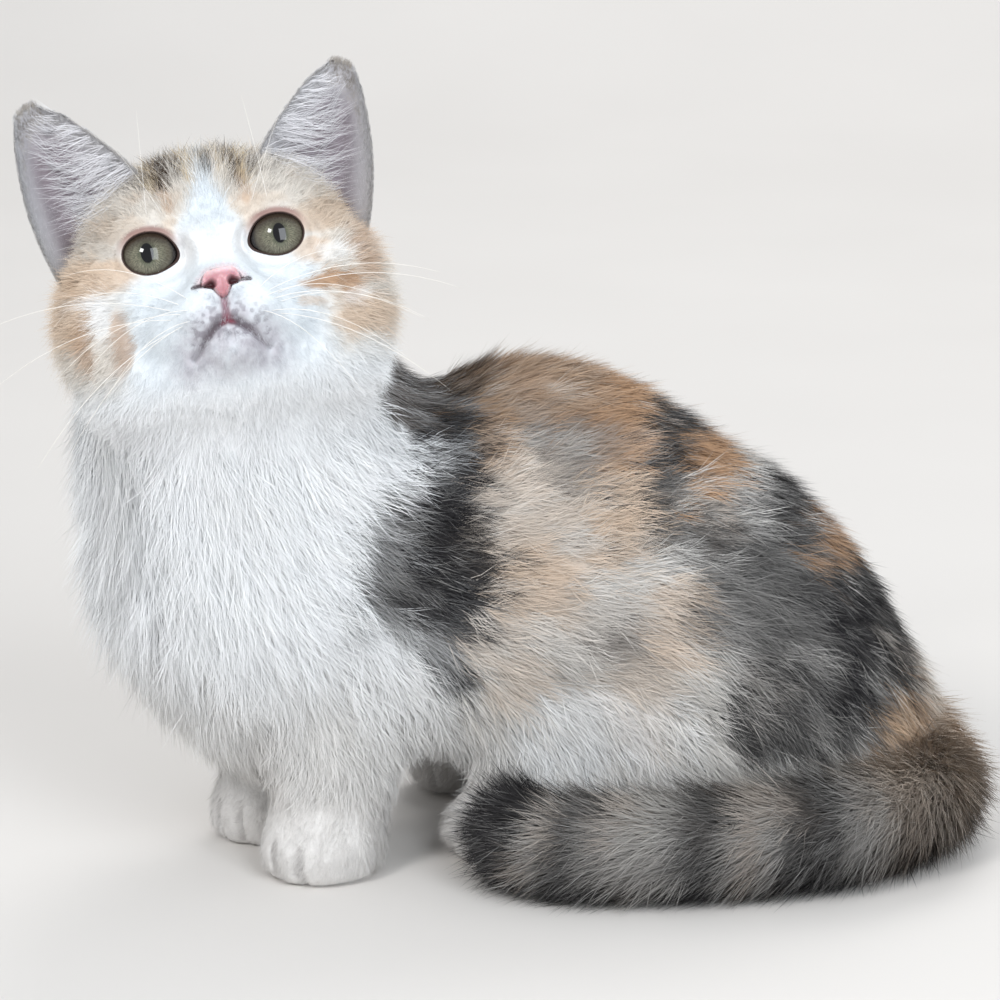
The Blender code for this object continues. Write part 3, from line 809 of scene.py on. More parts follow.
def stray(points, seed, amount, size):
    """Points pushed about by clouds, so that the borders of patches are ragged."""
    return points + amount * np.column_stack(
        [cloud(points, size, seed + step) for step in range(3)])


def body_markings(points):
    """Colour of the trunk, legs and chest: white in front and greyed low down as painted shade,
    cream behind the shoulder band, then the patches, each also laid on the far side."""
    moved = stray(stray(points, 3, 5.0, 13.0), 7, 2.2, 4.0)
    x, y, z = moved.T
    colour = np.tile(WHITE, (len(points), 1))
    # painted shade: the white greys towards the floor, below 75 mm up
    colour = blend(colour, (0.68, 0.66, 0.635), 0.85 * ease(75, 30, z))
    behind = ease(-12, -2, x) * ease(24, 40, z + 0.25 * (x - 30))
    colour = blend(colour, CREAM, 0.8 * behind)
    warm = 0.5 + 0.5 * cloud(points, 16.0, 21)
    colour = blend(colour, PEACH, 0.35 * behind * ease(0.45, 0.9, warm))
    for number, (paint, (cx, cy, cz), sizes, strength) in enumerate(PATCHES):
        share = patch_share(moved, (cx, cy, cz), sizes)
        drift = 6.0 * math.sin(2.1 * number)
        far = (cx + drift, other_side(cx, cy), cz + 0.4 * drift)
        share = np.maximum(share, patch_share(moved, far, sizes))
        mottled = 1.1 + 1.0 * cloud(points, 3.2, 40 + number)
        colour = blend(colour, paint, strength * np.clip(share * mottled, 0, 1))
    nape = ease(2, 16, y) * ease(94, 116, z) * ease(-86, -68, x)
    colour = blend(colour, FAWN, 0.7 * nape)
    # the feet are laid over with a pale grey that hides the patches: white feet, greyed as painted
    # shade like the legs
    feet = ease(28, 18, z) * ease(75, 55, x)
    return blend(colour, (0.72, 0.70, 0.68), feet)


def stripes(value, period, width):
    """1 on evenly spaced stripes and 0 between them."""
    return ease(1 - width, 1, 0.5 + 0.5 * np.cos(2 * math.pi * value / period))


def spot(left, height, middle, sizes):
    """A soft ellipse on the face plane."""
    ratio = np.hypot((left - middle[0]) / sizes[0], (height - middle[1]) / sizes[1])
    return ease(1.25, 0.65, ratio)


def head_markings(points):
    """Colour of the head: white blaze, muzzle and chin, pale cream brows, orange cheek bars
    and a crown of dark and orange streaks, with painted light beside the bridge and painted
    shade on the chin and in the slits beside the nostrils."""
    head = to_head(points)
    forward = head[:, 0]
    wobble = np.column_stack([cloud(points, 7.0, 60), cloud(points, 7.0, 61)])
    wobble = wobble * 1.3 + 0.4 * np.column_stack([cloud(points, 2.2, 62),
                                                   cloud(points, 2.2, 63)])
    left, height = face_plane(head)
    left = left + wobble[:, 0]
    height = height + wobble[:, 1]
    side = np.abs(left)
    colour = blend(np.tile(WHITE, (len(points), 1)), FACE_WHITE, ease(-42, -26, height))
    blaze = np.clip(9.0 - 0.5 * height, 0.0, 12.0)
    # painted light: the fur beside the nose bridge is whitened past the face's white, lightening
    # the shadow the bridge casts there
    beside = np.hypot(np.abs(head[:, 1]) - 6.5, head[:, 2] + 1.0)
    colour = blend(colour, (0.92, 0.92, 0.92), np.exp(-(beside / 5.0) ** 2))
    upper = ease(-9, 4, height) * ease(-1.6, 2.4, side - blaze)
    colour = blend(colour, FACE_CREAM, 0.85 * upper)
    cheeks = ease(20, 31, side) * ease(-38, -26, height)
    colour = blend(colour, FACE_CREAM, 0.85 * cheeks)
    warm = ease(0.1, 0.7, cloud(points, 5.0, 66)) * (upper + cheeks)
    colour = blend(colour, PEACH, 0.35 * np.clip(warm, 0, 1))
    for paint, middle, sizes, strength in CHEEK_BARS:
        colour = blend(colour, paint, strength * spot(left, height, middle, sizes))
    for paint, middle, half, low, strength in CROWN_STREAKS:
        streak = ease(1.5, 0.5, np.abs(left - middle) / half) * ease(low, low + 4, height)
        colour = blend(colour, paint, strength * streak * ease(-50, -40, forward))
    tips = ease(20, 27, height) * ease(24, 14, side) * ease(-54, -44, forward)
    colour = blend(colour, SMOKE, 0.45 * tips)
    back = ease(-38, -56, forward)
    colour = blend(colour, FAWN, 0.75 * back * ease(-20, -4, head[:, 2]))
    colour = blend(colour, UMBER, 0.8 * back * ease(0.1, 0.5, cloud(points, 9.0, 71))
                   * ease(-20, -4, head[:, 2]))
    lip = from_path(np.column_stack([np.abs(head[:, 1]), head[:, 2]]), MOUTH_PATH)
    lip = np.where(forward > -8, lip, 99.0)
    # painted shade: the white chin is greyed, in streaks along its hairs
    chin = spot(head[:, 1], head[:, 2], (0.0, -29.5), (9.0, 5.5)) * (forward > -12)
    streaks = ease(-0.5, 0.5, cloud(points * (1.0, 1.0, 0.4), 1.5, 77))
    colour = blend(colour, CHIN_SHADE, (0.35 + 0.35 * streaks) * chin)
    pads = ease(9, 1, lip) * (0.55 + 0.45 * ease(-0.4, 0.5, cloud(points, 1.8, 73)))
    colour = blend(colour, (0.47, 0.445, 0.49), 0.75 * pads)
    specks = ease(8, 2, lip) * ease(0.1, 0.4, cloud(points, 0.9, 75)) * ease(13, 9, side)
    colour = blend(colour, (0.20, 0.18, 0.21), 0.6 * specks * (head[:, 2] > -27))
    colour = blend(colour, (0.20, 0.17, 0.195), 0.7 * np.exp(-(lip / 1.1) ** 2)
                   * ease(13, 4, side))
    philtrum = np.abs(head[:, 1]) + 2 * np.abs(np.clip(head[:, 2], -22.9, -17.6) - head[:, 2])
    colour = blend(colour, PHILTRUM, 0.75 * ease(1.5, 0.4, philtrum) * (forward > 2))
    up = head[:, 2] - NOSE_MIDDLE[2]
    beyond = np.abs(head[:, 1]) - np.interp(up, NOSE_HEIGHTS, NOSE_WIDTHS)
    beyond = np.maximum(beyond, up - NOSE_HEIGHTS[-1])
    halo = ease(2.2, 0.2, beyond) * ease(-1.6, 0.4, up) * (forward > 2)
    colour = blend(colour, (0.77, 0.58, 0.60), 0.6 * halo)
    # painted shade: the slits beside the nostrils are painted dark on the fur
    colour = blend(colour, (0.10, 0.07, 0.08), 0.9 * ease(0.8, 0.4, fold_distance(head)))
    lids, upper = nearest_opening(head)
    return blend(colour, (0.50, 0.345, 0.31), 0.6 * upper * ease(2.6, 0.8, lids))


def skin_markings(points):
    """Colour of the coat and of the skin under it at any point of head and body."""
    colour = blend(body_markings(points), head_markings(points), head_share(points))
    # painted shade: greyer in the grooves between the toes
    return blend(colour, (0.30, 0.27, 0.26), 0.55 * toe_grooves(points)[0])


def tail_markings(turn, share, points):
    """Colour round and along the tail: slanted dark rings on grey, paler above as painted light
    and near-black below as painted shade, with a dark tip and an orange patch at the root.
    The turn is 0 on top; share runs from root to tip."""
    ragged = share * 330 + 9.0 * cloud(points, 9.0, 80) + 14.0 * np.sin(turn)
    # painted light and shade: the tail is paler towards its top, by the cosine of the turn, and its
    # rings fainter there
    above = 0.5 + 0.5 * np.cos(turn)
    colour = np.tile((0.20, 0.19, 0.18), (len(points), 1))
    colour = blend(colour, (0.44, 0.42, 0.395), 0.9 * above)
    colour = blend(colour, TAN, 0.2 * ease(0.1, 0.6, cloud(points, 7.0, 83)))
    colour = blend(colour, CHARCOAL, 0.92 * stripes(ragged, 50.0, 0.70) * (1 - 0.2 * above))
    # painted shade: the tail's underside is painted near-black
    colour = blend(colour, CHARCOAL, 0.75 * ease(0.35, 0.05, above))
    colour = blend(colour, CHARCOAL, 0.95 * ease(264, 278, ragged))
    colour = blend(colour, (0.47, 0.39, 0.32), 0.95 * ease(130, 100, ragged) * above)
    return blend(colour, PEACH, 0.5 * ease(40, 15, ragged))


def merged_flesh():
    """The flesh nodes' copies, swollen until their cuts close, remeshed as one and smoothed."""
    bm = bmesh.new()
    for node in BODY_NODES + ["eye_left", "eye_right", "nose"]:
        bm.from_mesh(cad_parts[node].data)
    bmesh.ops.remove_doubles(bm, verts=bm.verts, dist=1e-6)
    mesh = bpy.data.meshes.new("flesh")
    bm.to_mesh(mesh)
    bm.free()
    move(mesh, read(mesh, "co") + SWELL * read(mesh, "normal"))
    flesh = bpy.data.objects.new("flesh", mesh)
    bpy.context.scene.collection.objects.link(flesh)
    merge = flesh.modifiers.new("merge", "REMESH")
    merge.mode = "VOXEL"
    merge.voxel_size = SKIN_VOXEL * MM
    graph = bpy.context.evaluated_depsgraph_get()
    graph.update()
    whole = bpy.data.meshes.new_from_object(flesh.evaluated_get(graph))
    bpy.data.objects.remove(flesh, do_unlink=True)
    move(whole, relaxed(read(whole, "co"), edges_of(whole), SKIN_ROUNDS, 0.5))
    return whole


def finer_face(mesh):
    """Cut the faces in front of the head into smaller ones, for lids and lips."""
    head = to_head(read(mesh, "co"))
    inside = ((head > np.array(FACE_FROM)) & (head < np.array(FACE_TO))).all(1)
    bm = bmesh.new()
    bm.from_mesh(mesh)
    bm.verts.ensure_lookup_table()
    edges = [edge for edge in bm.edges if inside[edge.verts[0].index] and
             inside[edge.verts[1].index]]
    bmesh.ops.subdivide_edges(bm, edges=edges, cuts=FACE_CUTS, use_grid_fill=True)
    bm.to_mesh(mesh)
    bm.free()
    points = read(mesh, "co")
    head = to_head(points)
    box = np.minimum(head - np.array(FACE_FROM), np.array(FACE_TO) - head).min(1)
    inside = ease(0, 2, box)[:, None]
    move(mesh, relaxed(points, edges_of(mesh), 14, 0.5 * inside))


def shape_eyes(head):
    """Lids: seen from a little below the face, points inside the almond opening sink behind
    the eyeball, those round it form a raised, rounded edge on the ball, and those further
    out keep their place."""
    for side in (1, -1):
        outside, height, reach, upper = opening(head, side)
        reach = np.minimum(reach, EYE_RADIUS - 0.3)
        sunk = np.sqrt(np.clip((EYE_RADIUS - LID_BURIED) ** 2 - reach**2, 0, None))
        edge = np.sqrt((EYE_RADIUS + LID_HEIGHT * (1 + upper)) ** 2 - reach**2)
        wanted = sunk + (edge - sunk) * ease(-0.25, 0.5, outside)
        share = ease(4.2, 1.0, outside)
        head = head + face_views()[0] * (share * (wanted - height))[:, None]
    return head


def shape_mouth(head):
    """A narrow groove along the mouth line and philtrum, between softly swelling lips, a
    bed for the nose leather, and the hollows beside the bridge filled by a bell."""
    distance = mouth_distance(head)
    groove = 1.2 * np.exp(-(distance / 0.7) ** 2) - 0.4 * np.exp(-((distance - 2.0) / 1.2) ** 2)
    groove = groove * ease(-8, -2, head[:, 0]) + NOSE_BED * nose_share(head)
    groove = groove + 0.7 * np.exp(-(fold_distance(head) / 0.5) ** 2)
    beside = np.hypot(np.abs(head[:, 1]) - 6.2, head[:, 2] + 1.5)
    filled = 1.5 * np.exp(-(beside / 4.0) ** 2) * ease(-8, -2, head[:, 0])
    groove = groove - filled * ease(0.3, 3.0, nearest_opening(head)[0])
    return head - np.array([1.0, 0, 0]) * groove[:, None]


def surface_under(head, left, up):
    """How far forward the face is at places in front of it: the mean of the surface's
    points, weighed by a bell 0.6 wide."""
    near = head[(head[:, 0] > 2) & (np.abs(head[:, 1]) < 18) & (head[:, 2] < -5)]
    apart = (left.ravel()[:, None] - near[:, 1]) ** 2 + (up.ravel()[:, None] - near[:, 2]) ** 2
    weight = np.exp(-apart / (2 * 0.6**2)) + 1e-12
    return (weight @ near[:, 0] / weight.sum(1)).reshape(left.shape)


def toe_grooves(points):
    """How deep the grooves between the toes are, and the way out of each paw: lines that
    fan out from the paw's heel and are deepest in front."""
    paws = [((-46, -41), 42, 21), ((-62, -11), 33, 19), ((-3, -30), 10, 15), ((-14, 26), 20, 15)]
    deep, ways = np.zeros(len(points)), np.zeros((len(points), 3))
    for (x, y), yaw, reach in paws:
        turn = math.radians(yaw)
        fore = -(points[:, 0] - x) * math.cos(turn) - (points[:, 1] - y) * math.sin(turn)
        across = (points[:, 0] - x) * math.sin(turn) - (points[:, 1] - y) * math.cos(turn)
        spread = across / np.maximum(0.55 + 0.45 * (fore + 4) / reach, 0.3)
        groove = sum(np.exp(-((spread - middle) / 0.6) ** 2) for middle in (-7.4, 0.0, 7.4))
        near = ease(reach + 6, reach, np.hypot(fore, across)) * ease(0.3 * reach, 0.7 * reach, fore)
        share = groove * near * ease(13, 8, points[:, 2])
        deep = deep + share
        ways = ways + share[:, None] * np.array([math.cos(turn), math.sin(turn), 0.0])
    return np.clip(deep, 0, 1), ways


def shape_toes(points):
    """Press the grooves between the toes into the paws."""
    return points + 3.6 * toe_grooves(points)[1]


def skin_colours(points):
    """The skin's pigment and how bare it is: lid rims and lips are naked and dark."""
    head = to_head(points)
    colour = skin_markings(points)
    lids, upper = nearest_opening(head)
    band = 0.25 + 0.8 * upper**1.5
    bare = ease(band + 1.4, band, lids)
    colour = blend(colour, LID_BAND, (0.1 + 0.75 * upper) * bare)
    colour = blend(colour, LID_DARK, ease(0.45, 0.1, lids))
    lips = np.exp(-(mouth_distance(head) / 1.0) ** 2)
    away = np.hypot(head[:, 1], head[:, 2] - MOUTH_MIDDLE[1])
    centre = ease(2.6, 0.8, np.hypot(head[:, 1], head[:, 2] - MOUTH_MIDDLE[1] + 0.6))
    between = ease(0.8, 0.3, np.abs(head[:, 1])) * ease(0.0, 0.8, head[:, 2] - MOUTH_MIDDLE[1])
    colour = blend(colour, LIP, 0.90 * lips * ease(12.5, 3.5, away))
    colour = blend(colour, PHILTRUM, 0.8 * lips * between)
    colour = blend(colour, LIP_RED, 0.85 * lips * centre)
    # painted shade: the skin in the slits beside the nostrils is painted dark
    fold = np.exp(-(fold_distance(head) / 0.45) ** 2)
    colour = blend(colour, (0.08, 0.06, 0.07), 0.9 * fold)
    bare = np.maximum(bare, np.maximum(lips, fold))
    return colour, np.column_stack([bare, bare, bare])


def body_skin(combs):
    """The skin of head and body: the merged flesh drawn in by the coat's depth, with lids,
    lips and toes shaped into it."""
    mesh = merged_flesh()
    points, normals = read(mesh, "co"), read(mesh, "normal")
    depth = coat_lie(points, combs)[2]
    resting = ease(0.5, 6, points[:, 2])
    points = points - normals * (depth * (0.25 + 0.75 * resting))[:, None]
    hollow = np.linalg.norm(points - np.array(NAPE_HOLLOW), axis=1)
    points = points - normals * (5.0 * np.exp(-((hollow / 11.0) ** 2)))[:, None]
    level = points[:, 2] - (128 + 0.29 * (points[:, 1] + 38))
    crease = ease(15, 5, np.abs(level + 1)) * ease(-20, -32, points[:, 0])
    points = relaxed(points, edges_of(mesh), 70, 0.5 * crease[:, None])
    points = relaxed(points, edges_of(mesh), 3, 0.5)
    points[:, 2] = np.maximum(points[:, 2], 0.35)
    move(mesh, shape_toes(points))
    finer_face(mesh)
    points = read(mesh, "co")
    head = shape_mouth(shape_eyes(to_head(points)))
    points = from_head(head)
    relaxed_points = relaxed(points, edges_of(mesh), 1, 0.35)
    move(mesh, relaxed_points)
    return mesh


def ear_grid(side, rings, sides, inset):
    """An ear as closed rings from foot to tip, drawn in by an inset.

    Each ring runs from the inner edge to the outer one over the hollow front and back
    behind. The hollow is as deep as a rounded arch, and its depth falls with the square
    root of the way to the tip. Folds run along the hollow's inner third.
    """
    inner = smooth_through(EAR_INNER, rings)
    outer = smooth_through(EAR_OUTER, rings)
    rise = np.linspace(0, 1, rings)[:, None]
    angle = np.linspace(0, 2 * math.pi, sides, endpoint=False)[None]
    across = 0.5 + 0.5 * np.cos(angle)
    middle_left = 0.5 * (inner[:, :1] + outer[:, :1])
    half = 0.5 * np.hypot(*(outer - inner).T)[:, None]
    narrow = np.clip(1 - inset / np.maximum(half, 0.4), 0.05, 1)
    left = inner[:, :1] + (outer[:, :1] - inner[:, :1]) * across
    left = middle_left + (left - middle_left) * narrow
    up = inner[:, 1:] + (outer[:, 1:] - inner[:, 1:]) * across
    up = up + (EAR_DOME - inset) * np.sqrt(4 * across * (1 - across)) * rise**6
    middle = 0.5 * (EAR_INNER_FRONT + EAR_OUTER_FRONT)
    twist = (EAR_INNER_FRONT - middle) * (1 - 2 * across) * (1 - rise**3)
    edge = middle + twist - EAR_LEAN * (up - EAR_INNER[0][1])
    hollow = EAR_CUP * np.sqrt(1 - rise) * (4 * across * (1 - across)) ** EAR_ROUNDNESS
    front = np.clip(np.sin(angle), 0, 1)
    folds = 0.45 * front * np.sin(across * 24 + 2 * rise) * ease(0.9, 0.3, rise)
    folds = folds + 1.3 * front * np.exp(-((across - 0.20) / 0.06) ** 2) * (1 - rise)
    behind = np.clip(-np.sin(angle), 0, 1) ** EAR_ROUNDNESS
    wall = EAR_WALL * (1 - rise) + EAR_TIP_WALL * rise - 2 * inset
    forward = edge - hollow - inset - wall * behind * (1 - rise**24) + folds
    grid = np.stack([forward, side * left, up], axis=-1)
    return from_head(grid.reshape(-1, 3)).reshape(rings, sides, 3), across, rise, angle


def ear_colours(across, rise, angle):
    """Lavender grey inside, with painted shade deepening towards the middle and foot of the
    hollow so that the rim stays pale; cream grey behind with a dark tip.
    """
    shape = np.broadcast_shapes(across.shape, rise.shape)
    inside = ease(-0.05, 0.20, np.broadcast_to(np.sin(angle), shape))
    across = np.broadcast_to(across, shape)
    rise = np.broadcast_to(rise, shape)
    colour = np.tile((0.54, 0.50, 0.46), (*shape, 1))
    colour = blend(colour, UMBER, 0.35 * ease(0.85, 0.93, rise) * ease(1.0, 0.95, rise))
    # painted shade: the lining darkens towards the middle of the hollow, and most at its foot
    depth = ease(0.03, 0.35, np.minimum(across, 1 - across)) * ease(1.0, 0.7, rise)
    lining = blend(np.tile((0.54, 0.53, 0.55), (*shape, 1)), (0.27, 0.23, 0.255), depth)
    lining = blend(lining, (0.22, 0.16, 0.18), 0.7 * depth * ease(0.5, 0.1, rise))
    colour = blend(colour, lining, inside)
    return colour.reshape(-1, 3), inside.reshape(-1)


def tail_line():
    """The tail's middle line and its radius with the coat on, from root to rounded tip."""
    path = smooth_through(TAIL_PATH, TAIL_RINGS)
    share = np.linspace(0, 1, TAIL_RINGS)
    thickness = TAIL_RADIUS * (1 - TAIL_TAPER * share)
    root = np.clip(1 - share / TAIL_ROOT_SHARE, 0, 1) ** 1.5
    height = thickness - TAIL_PRESSED + (TAIL_ROOT_HEIGHT - TAIL_RADIUS) * root
    return np.column_stack([path, height]), thickness, share


def tail_grid():
    """The tail's skin: rings round its middle line, inside the coat and drawn to a point.

    A ring's radius is the coat's outside less the coat, times the square root of
    1 - (share past the tip's start)^2 near the end.
    """
    line, thickness, share = tail_line()
    along = unit(np.gradient(line, axis=0))
    over = np.array([0.0, 0.0, 1.0])
    aside = unit(np.cross(along, over))
    top = np.cross(aside, along)
    blunt = np.sqrt(np.clip(1 - ease(0.86, 1.0, share) ** 2 * 1.0, 0.0, 1))
    radius = (thickness - TAIL_COAT) * blunt + 0.05
    turn = np.linspace(0, 2 * math.pi, TAIL_SIDES, endpoint=False)
    ring = (np.cos(turn)[None, :, None] * top[:, None] + np.sin(turn)[None, :, None]
            * aside[:, None])
    grid = line[:, None] + radius[:, None, None] * ring
    shares = np.repeat(share, TAIL_SIDES)
    turns = np.tile(turn, TAIL_RINGS)
    return grid, np.repeat(along, TAIL_SIDES, axis=0), ring.reshape(-1, 3), turns, shares


def joined_skin(parts):
    """One mesh of all the skin's parts, with their pigment and detail fields."""
    bm = bmesh.new()
    for mesh in parts:
        bm.from_mesh(mesh)
    whole = bpy.data.meshes.new("skin")
    bm.to_mesh(whole)
    bm.free()
    whole.polygons.foreach_set("use_smooth", np.ones(len(whole.polygons), bool))
    return whole


def scattered(mesh, gap, seed):
    """Points spread over a mesh, one for each square of a gap: places and normals.

    Each triangle gets the whole part of its area over the gap's square, and one more with
    the chance of the rest; a place is the square-root rule on its corners.
    """
    mesh.calc_loop_triangles()
    corners = np.empty(len(mesh.loop_triangles) * 3, np.int32)
    mesh.loop_triangles.foreach_get("vertices", corners)
    corners = corners.reshape(-1, 3)
    points = read(mesh, "co")
    normals = unit(relaxed(read(mesh, "normal"), edges_of(mesh), 30, 0.5))
    a, b, c = (points[corners[:, i]] for i in range(3))
    area = 0.5 * np.linalg.norm(np.cross(b - a, c - a), axis=1)
    middle = (a + b + c) / 3
    wanted = area / (gap(middle) ** 2)
    chance = np.random.default_rng(seed)
    count = np.floor(wanted + chance.random(len(wanted))).astype(int)
    which = np.repeat(np.arange(len(corners)), count)
    r, s = chance.random((2, len(which)))
    r = np.sqrt(r)
    shares = np.column_stack([1 - r, r * (1 - s), r * s])
    place = (points[corners[which]] * shares[..., None]).sum(1)
    normal = unit((normals[corners[which]] * shares[..., None]).sum(1))
    return place, normal


def hair(name, clumps, hairs, spread, width, pull, seed, bends=2, limp=0.15):
    """Locks of hair: each clump grows some hairs whose tips lean together.

    A hair is a tapering ribbon. Its middle line leaves the root along the lie, raised by
    the coat's depth over the length and bowed up by limp times t(1 - t), and is pulled by
    t^1.5 towards the clump's own tip. Its normals are mostly the skin's, so that the coat
    shades softly.
    """
    place, normal, way, length, depth, pigment, tick, chart = clumps
    count = len(place) * hairs
    which = np.repeat(np.arange(len(place)), hairs)
    chance = np.random.default_rng(seed)
    sway = 0.22 * chance.standard_normal(len(place))[:, None]
    way = unit(way + sway * np.cross(normal, way))
    tick = tick[which] * ease(0.35, 0.75, chance.random(count))
    radius = spread * np.sqrt(chance.random(count))
    turn = chance.random(count) * 2 * math.pi
    n, d = normal[which], way[which]
    s = np.cross(n, d)
    fore, side = (radius * np.cos(turn))[:, None], (radius * np.sin(turn))[:, None]
    root = place[which] + fore * d + side * s - 0.35 * n
    own = length[which] * (0.60 + 0.60 * chance.random(count))
    lift = 0.55 + 0.9 * chance.random(len(place))
    rise = (depth / length * lift)[which] * (0.6 + 0.8 * chance.random(count))
    lean = 0.32 * chance.standard_normal(count)
    bend = (0.16 * chance.standard_normal(count) * own)[:, None]
    heading = unit(d + lean[:, None] * s)
    tip = place[which] + length[which][:, None] * (d + rise[:, None] * n)
    levels = np.linspace(0, 1, bends + 1)
    roll = chance.uniform(-0.8, 0.8, count)[:, None]
    flat = unit(np.cos(roll) * np.cross(n, heading) + np.sin(roll) * n)
    face = unit(n + 0.25 * np.cross(heading, flat) - rise[:, None] * d)
    rows = []
    for t in levels:
        raised = rise * t + limp * t * (1 - t)
        middle = root + own[:, None] * (t * heading + raised[:, None] * n)
        middle = middle + bend * t**2 * s
        middle = middle + pull * t**1.5 * (tip - root - own[:, None] * heading
                                           - (own * rise)[:, None] * n)
        half = 0.5 * width[which] * (1 - t) ** 0.6 * (0.75 + 0.25 * min(1.0, 4 * t))
        if t < 1:
            rows.append(middle + half[:, None] * flat)
            rows.append(middle - half[:, None] * flat)
        else:
            rows.append(middle)
    points = np.stack(rows, axis=1)
    points[..., 2] = np.maximum(points[..., 2], 0.12)
    return hair_mesh(name, points, face, levels, which, pigment, tick, chart)


def hair_mesh(name, points, face, levels, which, pigment, tick, chart):
    """Write ribbons with their normals, their pigment, strand and map fields."""
    count, across, _ = points.shape
    segments = len(levels) - 1
    quads = [(2 * k, 2 * k + 1, 2 * k + 3, 2 * k + 2) for k in range(segments - 1)]
    pattern = np.array([corner for quad in quads for corner in quad]
                       + [2 * segments - 2, 2 * segments - 1, 2 * segments])
    sizes = np.array([4] * (segments - 1) + [3])
    corners = (np.arange(count)[:, None] * across + pattern[None]).ravel()
    starts = np.concatenate([[0], np.cumsum(np.tile(sizes, count))[:-1]])
    mesh = write_mesh(name, points.reshape(-1, 3), corners, starts)
    along = np.append(np.repeat(levels[:-1], 2), 1.0)
    aside = np.append(np.tile([1.0, -1.0], segments), 0.0)
    own = dice(count, count)
    strand = np.stack(np.broadcast_arrays(along, own[:, None], tick[:, None]), axis=-1)
    store(mesh, "strand", strand.reshape(-1, 3))
    store(mesh, "pigment", np.repeat(pigment[which], across, axis=0))
    patch = np.stack([np.broadcast_to(0.0015 * aside, (count, across)),
                      np.broadcast_to(0.003 * along, (count, across))], axis=-1)
    spots = (chart[which][:, None] + patch).reshape(-1, 2)
    layer = mesh.uv_layers.new(name="OFBake")
    layer.data.foreach_set("uv", spots[corners].astype(np.float32).ravel())
    mesh.normals_split_custom_set_from_vertices(np.repeat(face, across, axis=0))
    return mesh


def chart_round(points, middle, axis, low, high):
    """Unwrap as a cylinder about an upright or lengthwise axis: angle by height."""
    rest = [i for i in range(3) if i != axis]
    offset = points[:, rest] - np.array(middle)[rest]
    angle = np.arctan2(offset[:, 1], offset[:, 0]) / (2 * math.pi) + 0.5
    level = (points[:, axis] - low) / (high - low)
    return np.column_stack([0.01 + 0.98 * angle, 0.01 + 0.98 * np.clip(level, 0, 1)])


def tick_share(colour, place, seed):
    """How much of the hairs are banded pale: more on grey and dark fur, in small clouds."""
    dark = ease(0.45, 0.12, colour.mean(1))
    clouds = ease(-0.05, 0.5, cloud(place, 2.2, seed))
    return dark * clouds * (0.3 + 0.6 * dice(len(place), seed))


def coat_gap(points):
    """Spacing of the clumps on head and body: fine on face and feet, wide below."""
    head = head_share(points)
    reach = np.linalg.norm(to_head(points) - np.array(MUZZLE_MIDDLE), axis=1)
    fine = np.interp(reach, [0, 14, 30, 50], [0.60, 0.75, 1.15, 1.5])
    gap = fine * head + 1.75 * (1 - head)
    feet = ease(26, 10, points[:, 2]) * (points[:, 0] < 30)
    gap = gap - 0.8 * feet * (head < 0.5)
    under = (points[:, 2] < 3) | ((points[:, 2] < 16) & (np.abs(points[:, 1] - 2) < 14))
    hidden = points[:, 1] > np.interp(points[:, 0], [-80, -14, 115], [2, 12, 24])
    gap = np.where(hidden & (head < 0.5), gap + 0.45, gap)
    return np.where(under, 2.6, gap)


def hair_width(points):
    """Hair width: finest on the muzzle and feet."""
    head = head_share(points)
    reach = np.linalg.norm(to_head(points) - np.array(MUZZLE_MIDDLE), axis=1)
    fine = np.interp(reach, [0, 16, 34, 55], [0.11, 0.14, 0.19, 0.23])
    low = 0.16 + 0.05 * ease(8, 30, points[:, 2]) - 0.05 * ease(-20, -50, points[:, 0])
    return fine * head + low * (1 - head)


def slope_of(points, size, seed):
    """A cloud's height, and its slope by differences over one millimetre. The cloud is drawn
    out upwards by two on the chest and lengthwise by two behind it."""
    chest = ease(-5, -30, points[:, 0])[:, None]
    stretch = chest * (1.0, 1.0, 0.45) + (1 - chest) * (0.5, 1.0, 1.0)
    height = cloud(points * stretch, size, seed)
    ahead = [cloud((points + step) * stretch, size, seed) for step in np.eye(3)]
    return height, np.column_stack(ahead) - height[:, None]


def gathered(place, way, normal, depth):
    """Gather the coat in locks: hair leans up the slope of a cloud to its ridges, where the
    coat is deeper, and its normals lean down the slope."""
    chest = ease(-5, -30, place[:, 0]) * (1 - head_share(place))
    body = 1 - head_share(place)
    broad, broad_slope = slope_of(place, 10.0, 91)
    fine, fine_slope = slope_of(place, 5.0, 95)
    slope = laid_share(broad_slope, normal) * (0.5 + 1.7 * chest)[:, None]
    slope = (slope + 0.7 * laid_share(fine_slope, normal)) * (0.2 + 0.8 * body)[:, None]
    way = laid(unit(way) + 0.9 * slope, normal)
    depth = depth * (1 + body * (0.30 * broad + 0.15 * fine))
    return way, unit(normal - 0.9 * slope), depth


def laid_share(vectors, normal):
    """The part of vectors that lies flat on the skin, at its own length."""
    return vectors - (vectors * normal).sum(1)[:, None] * normal


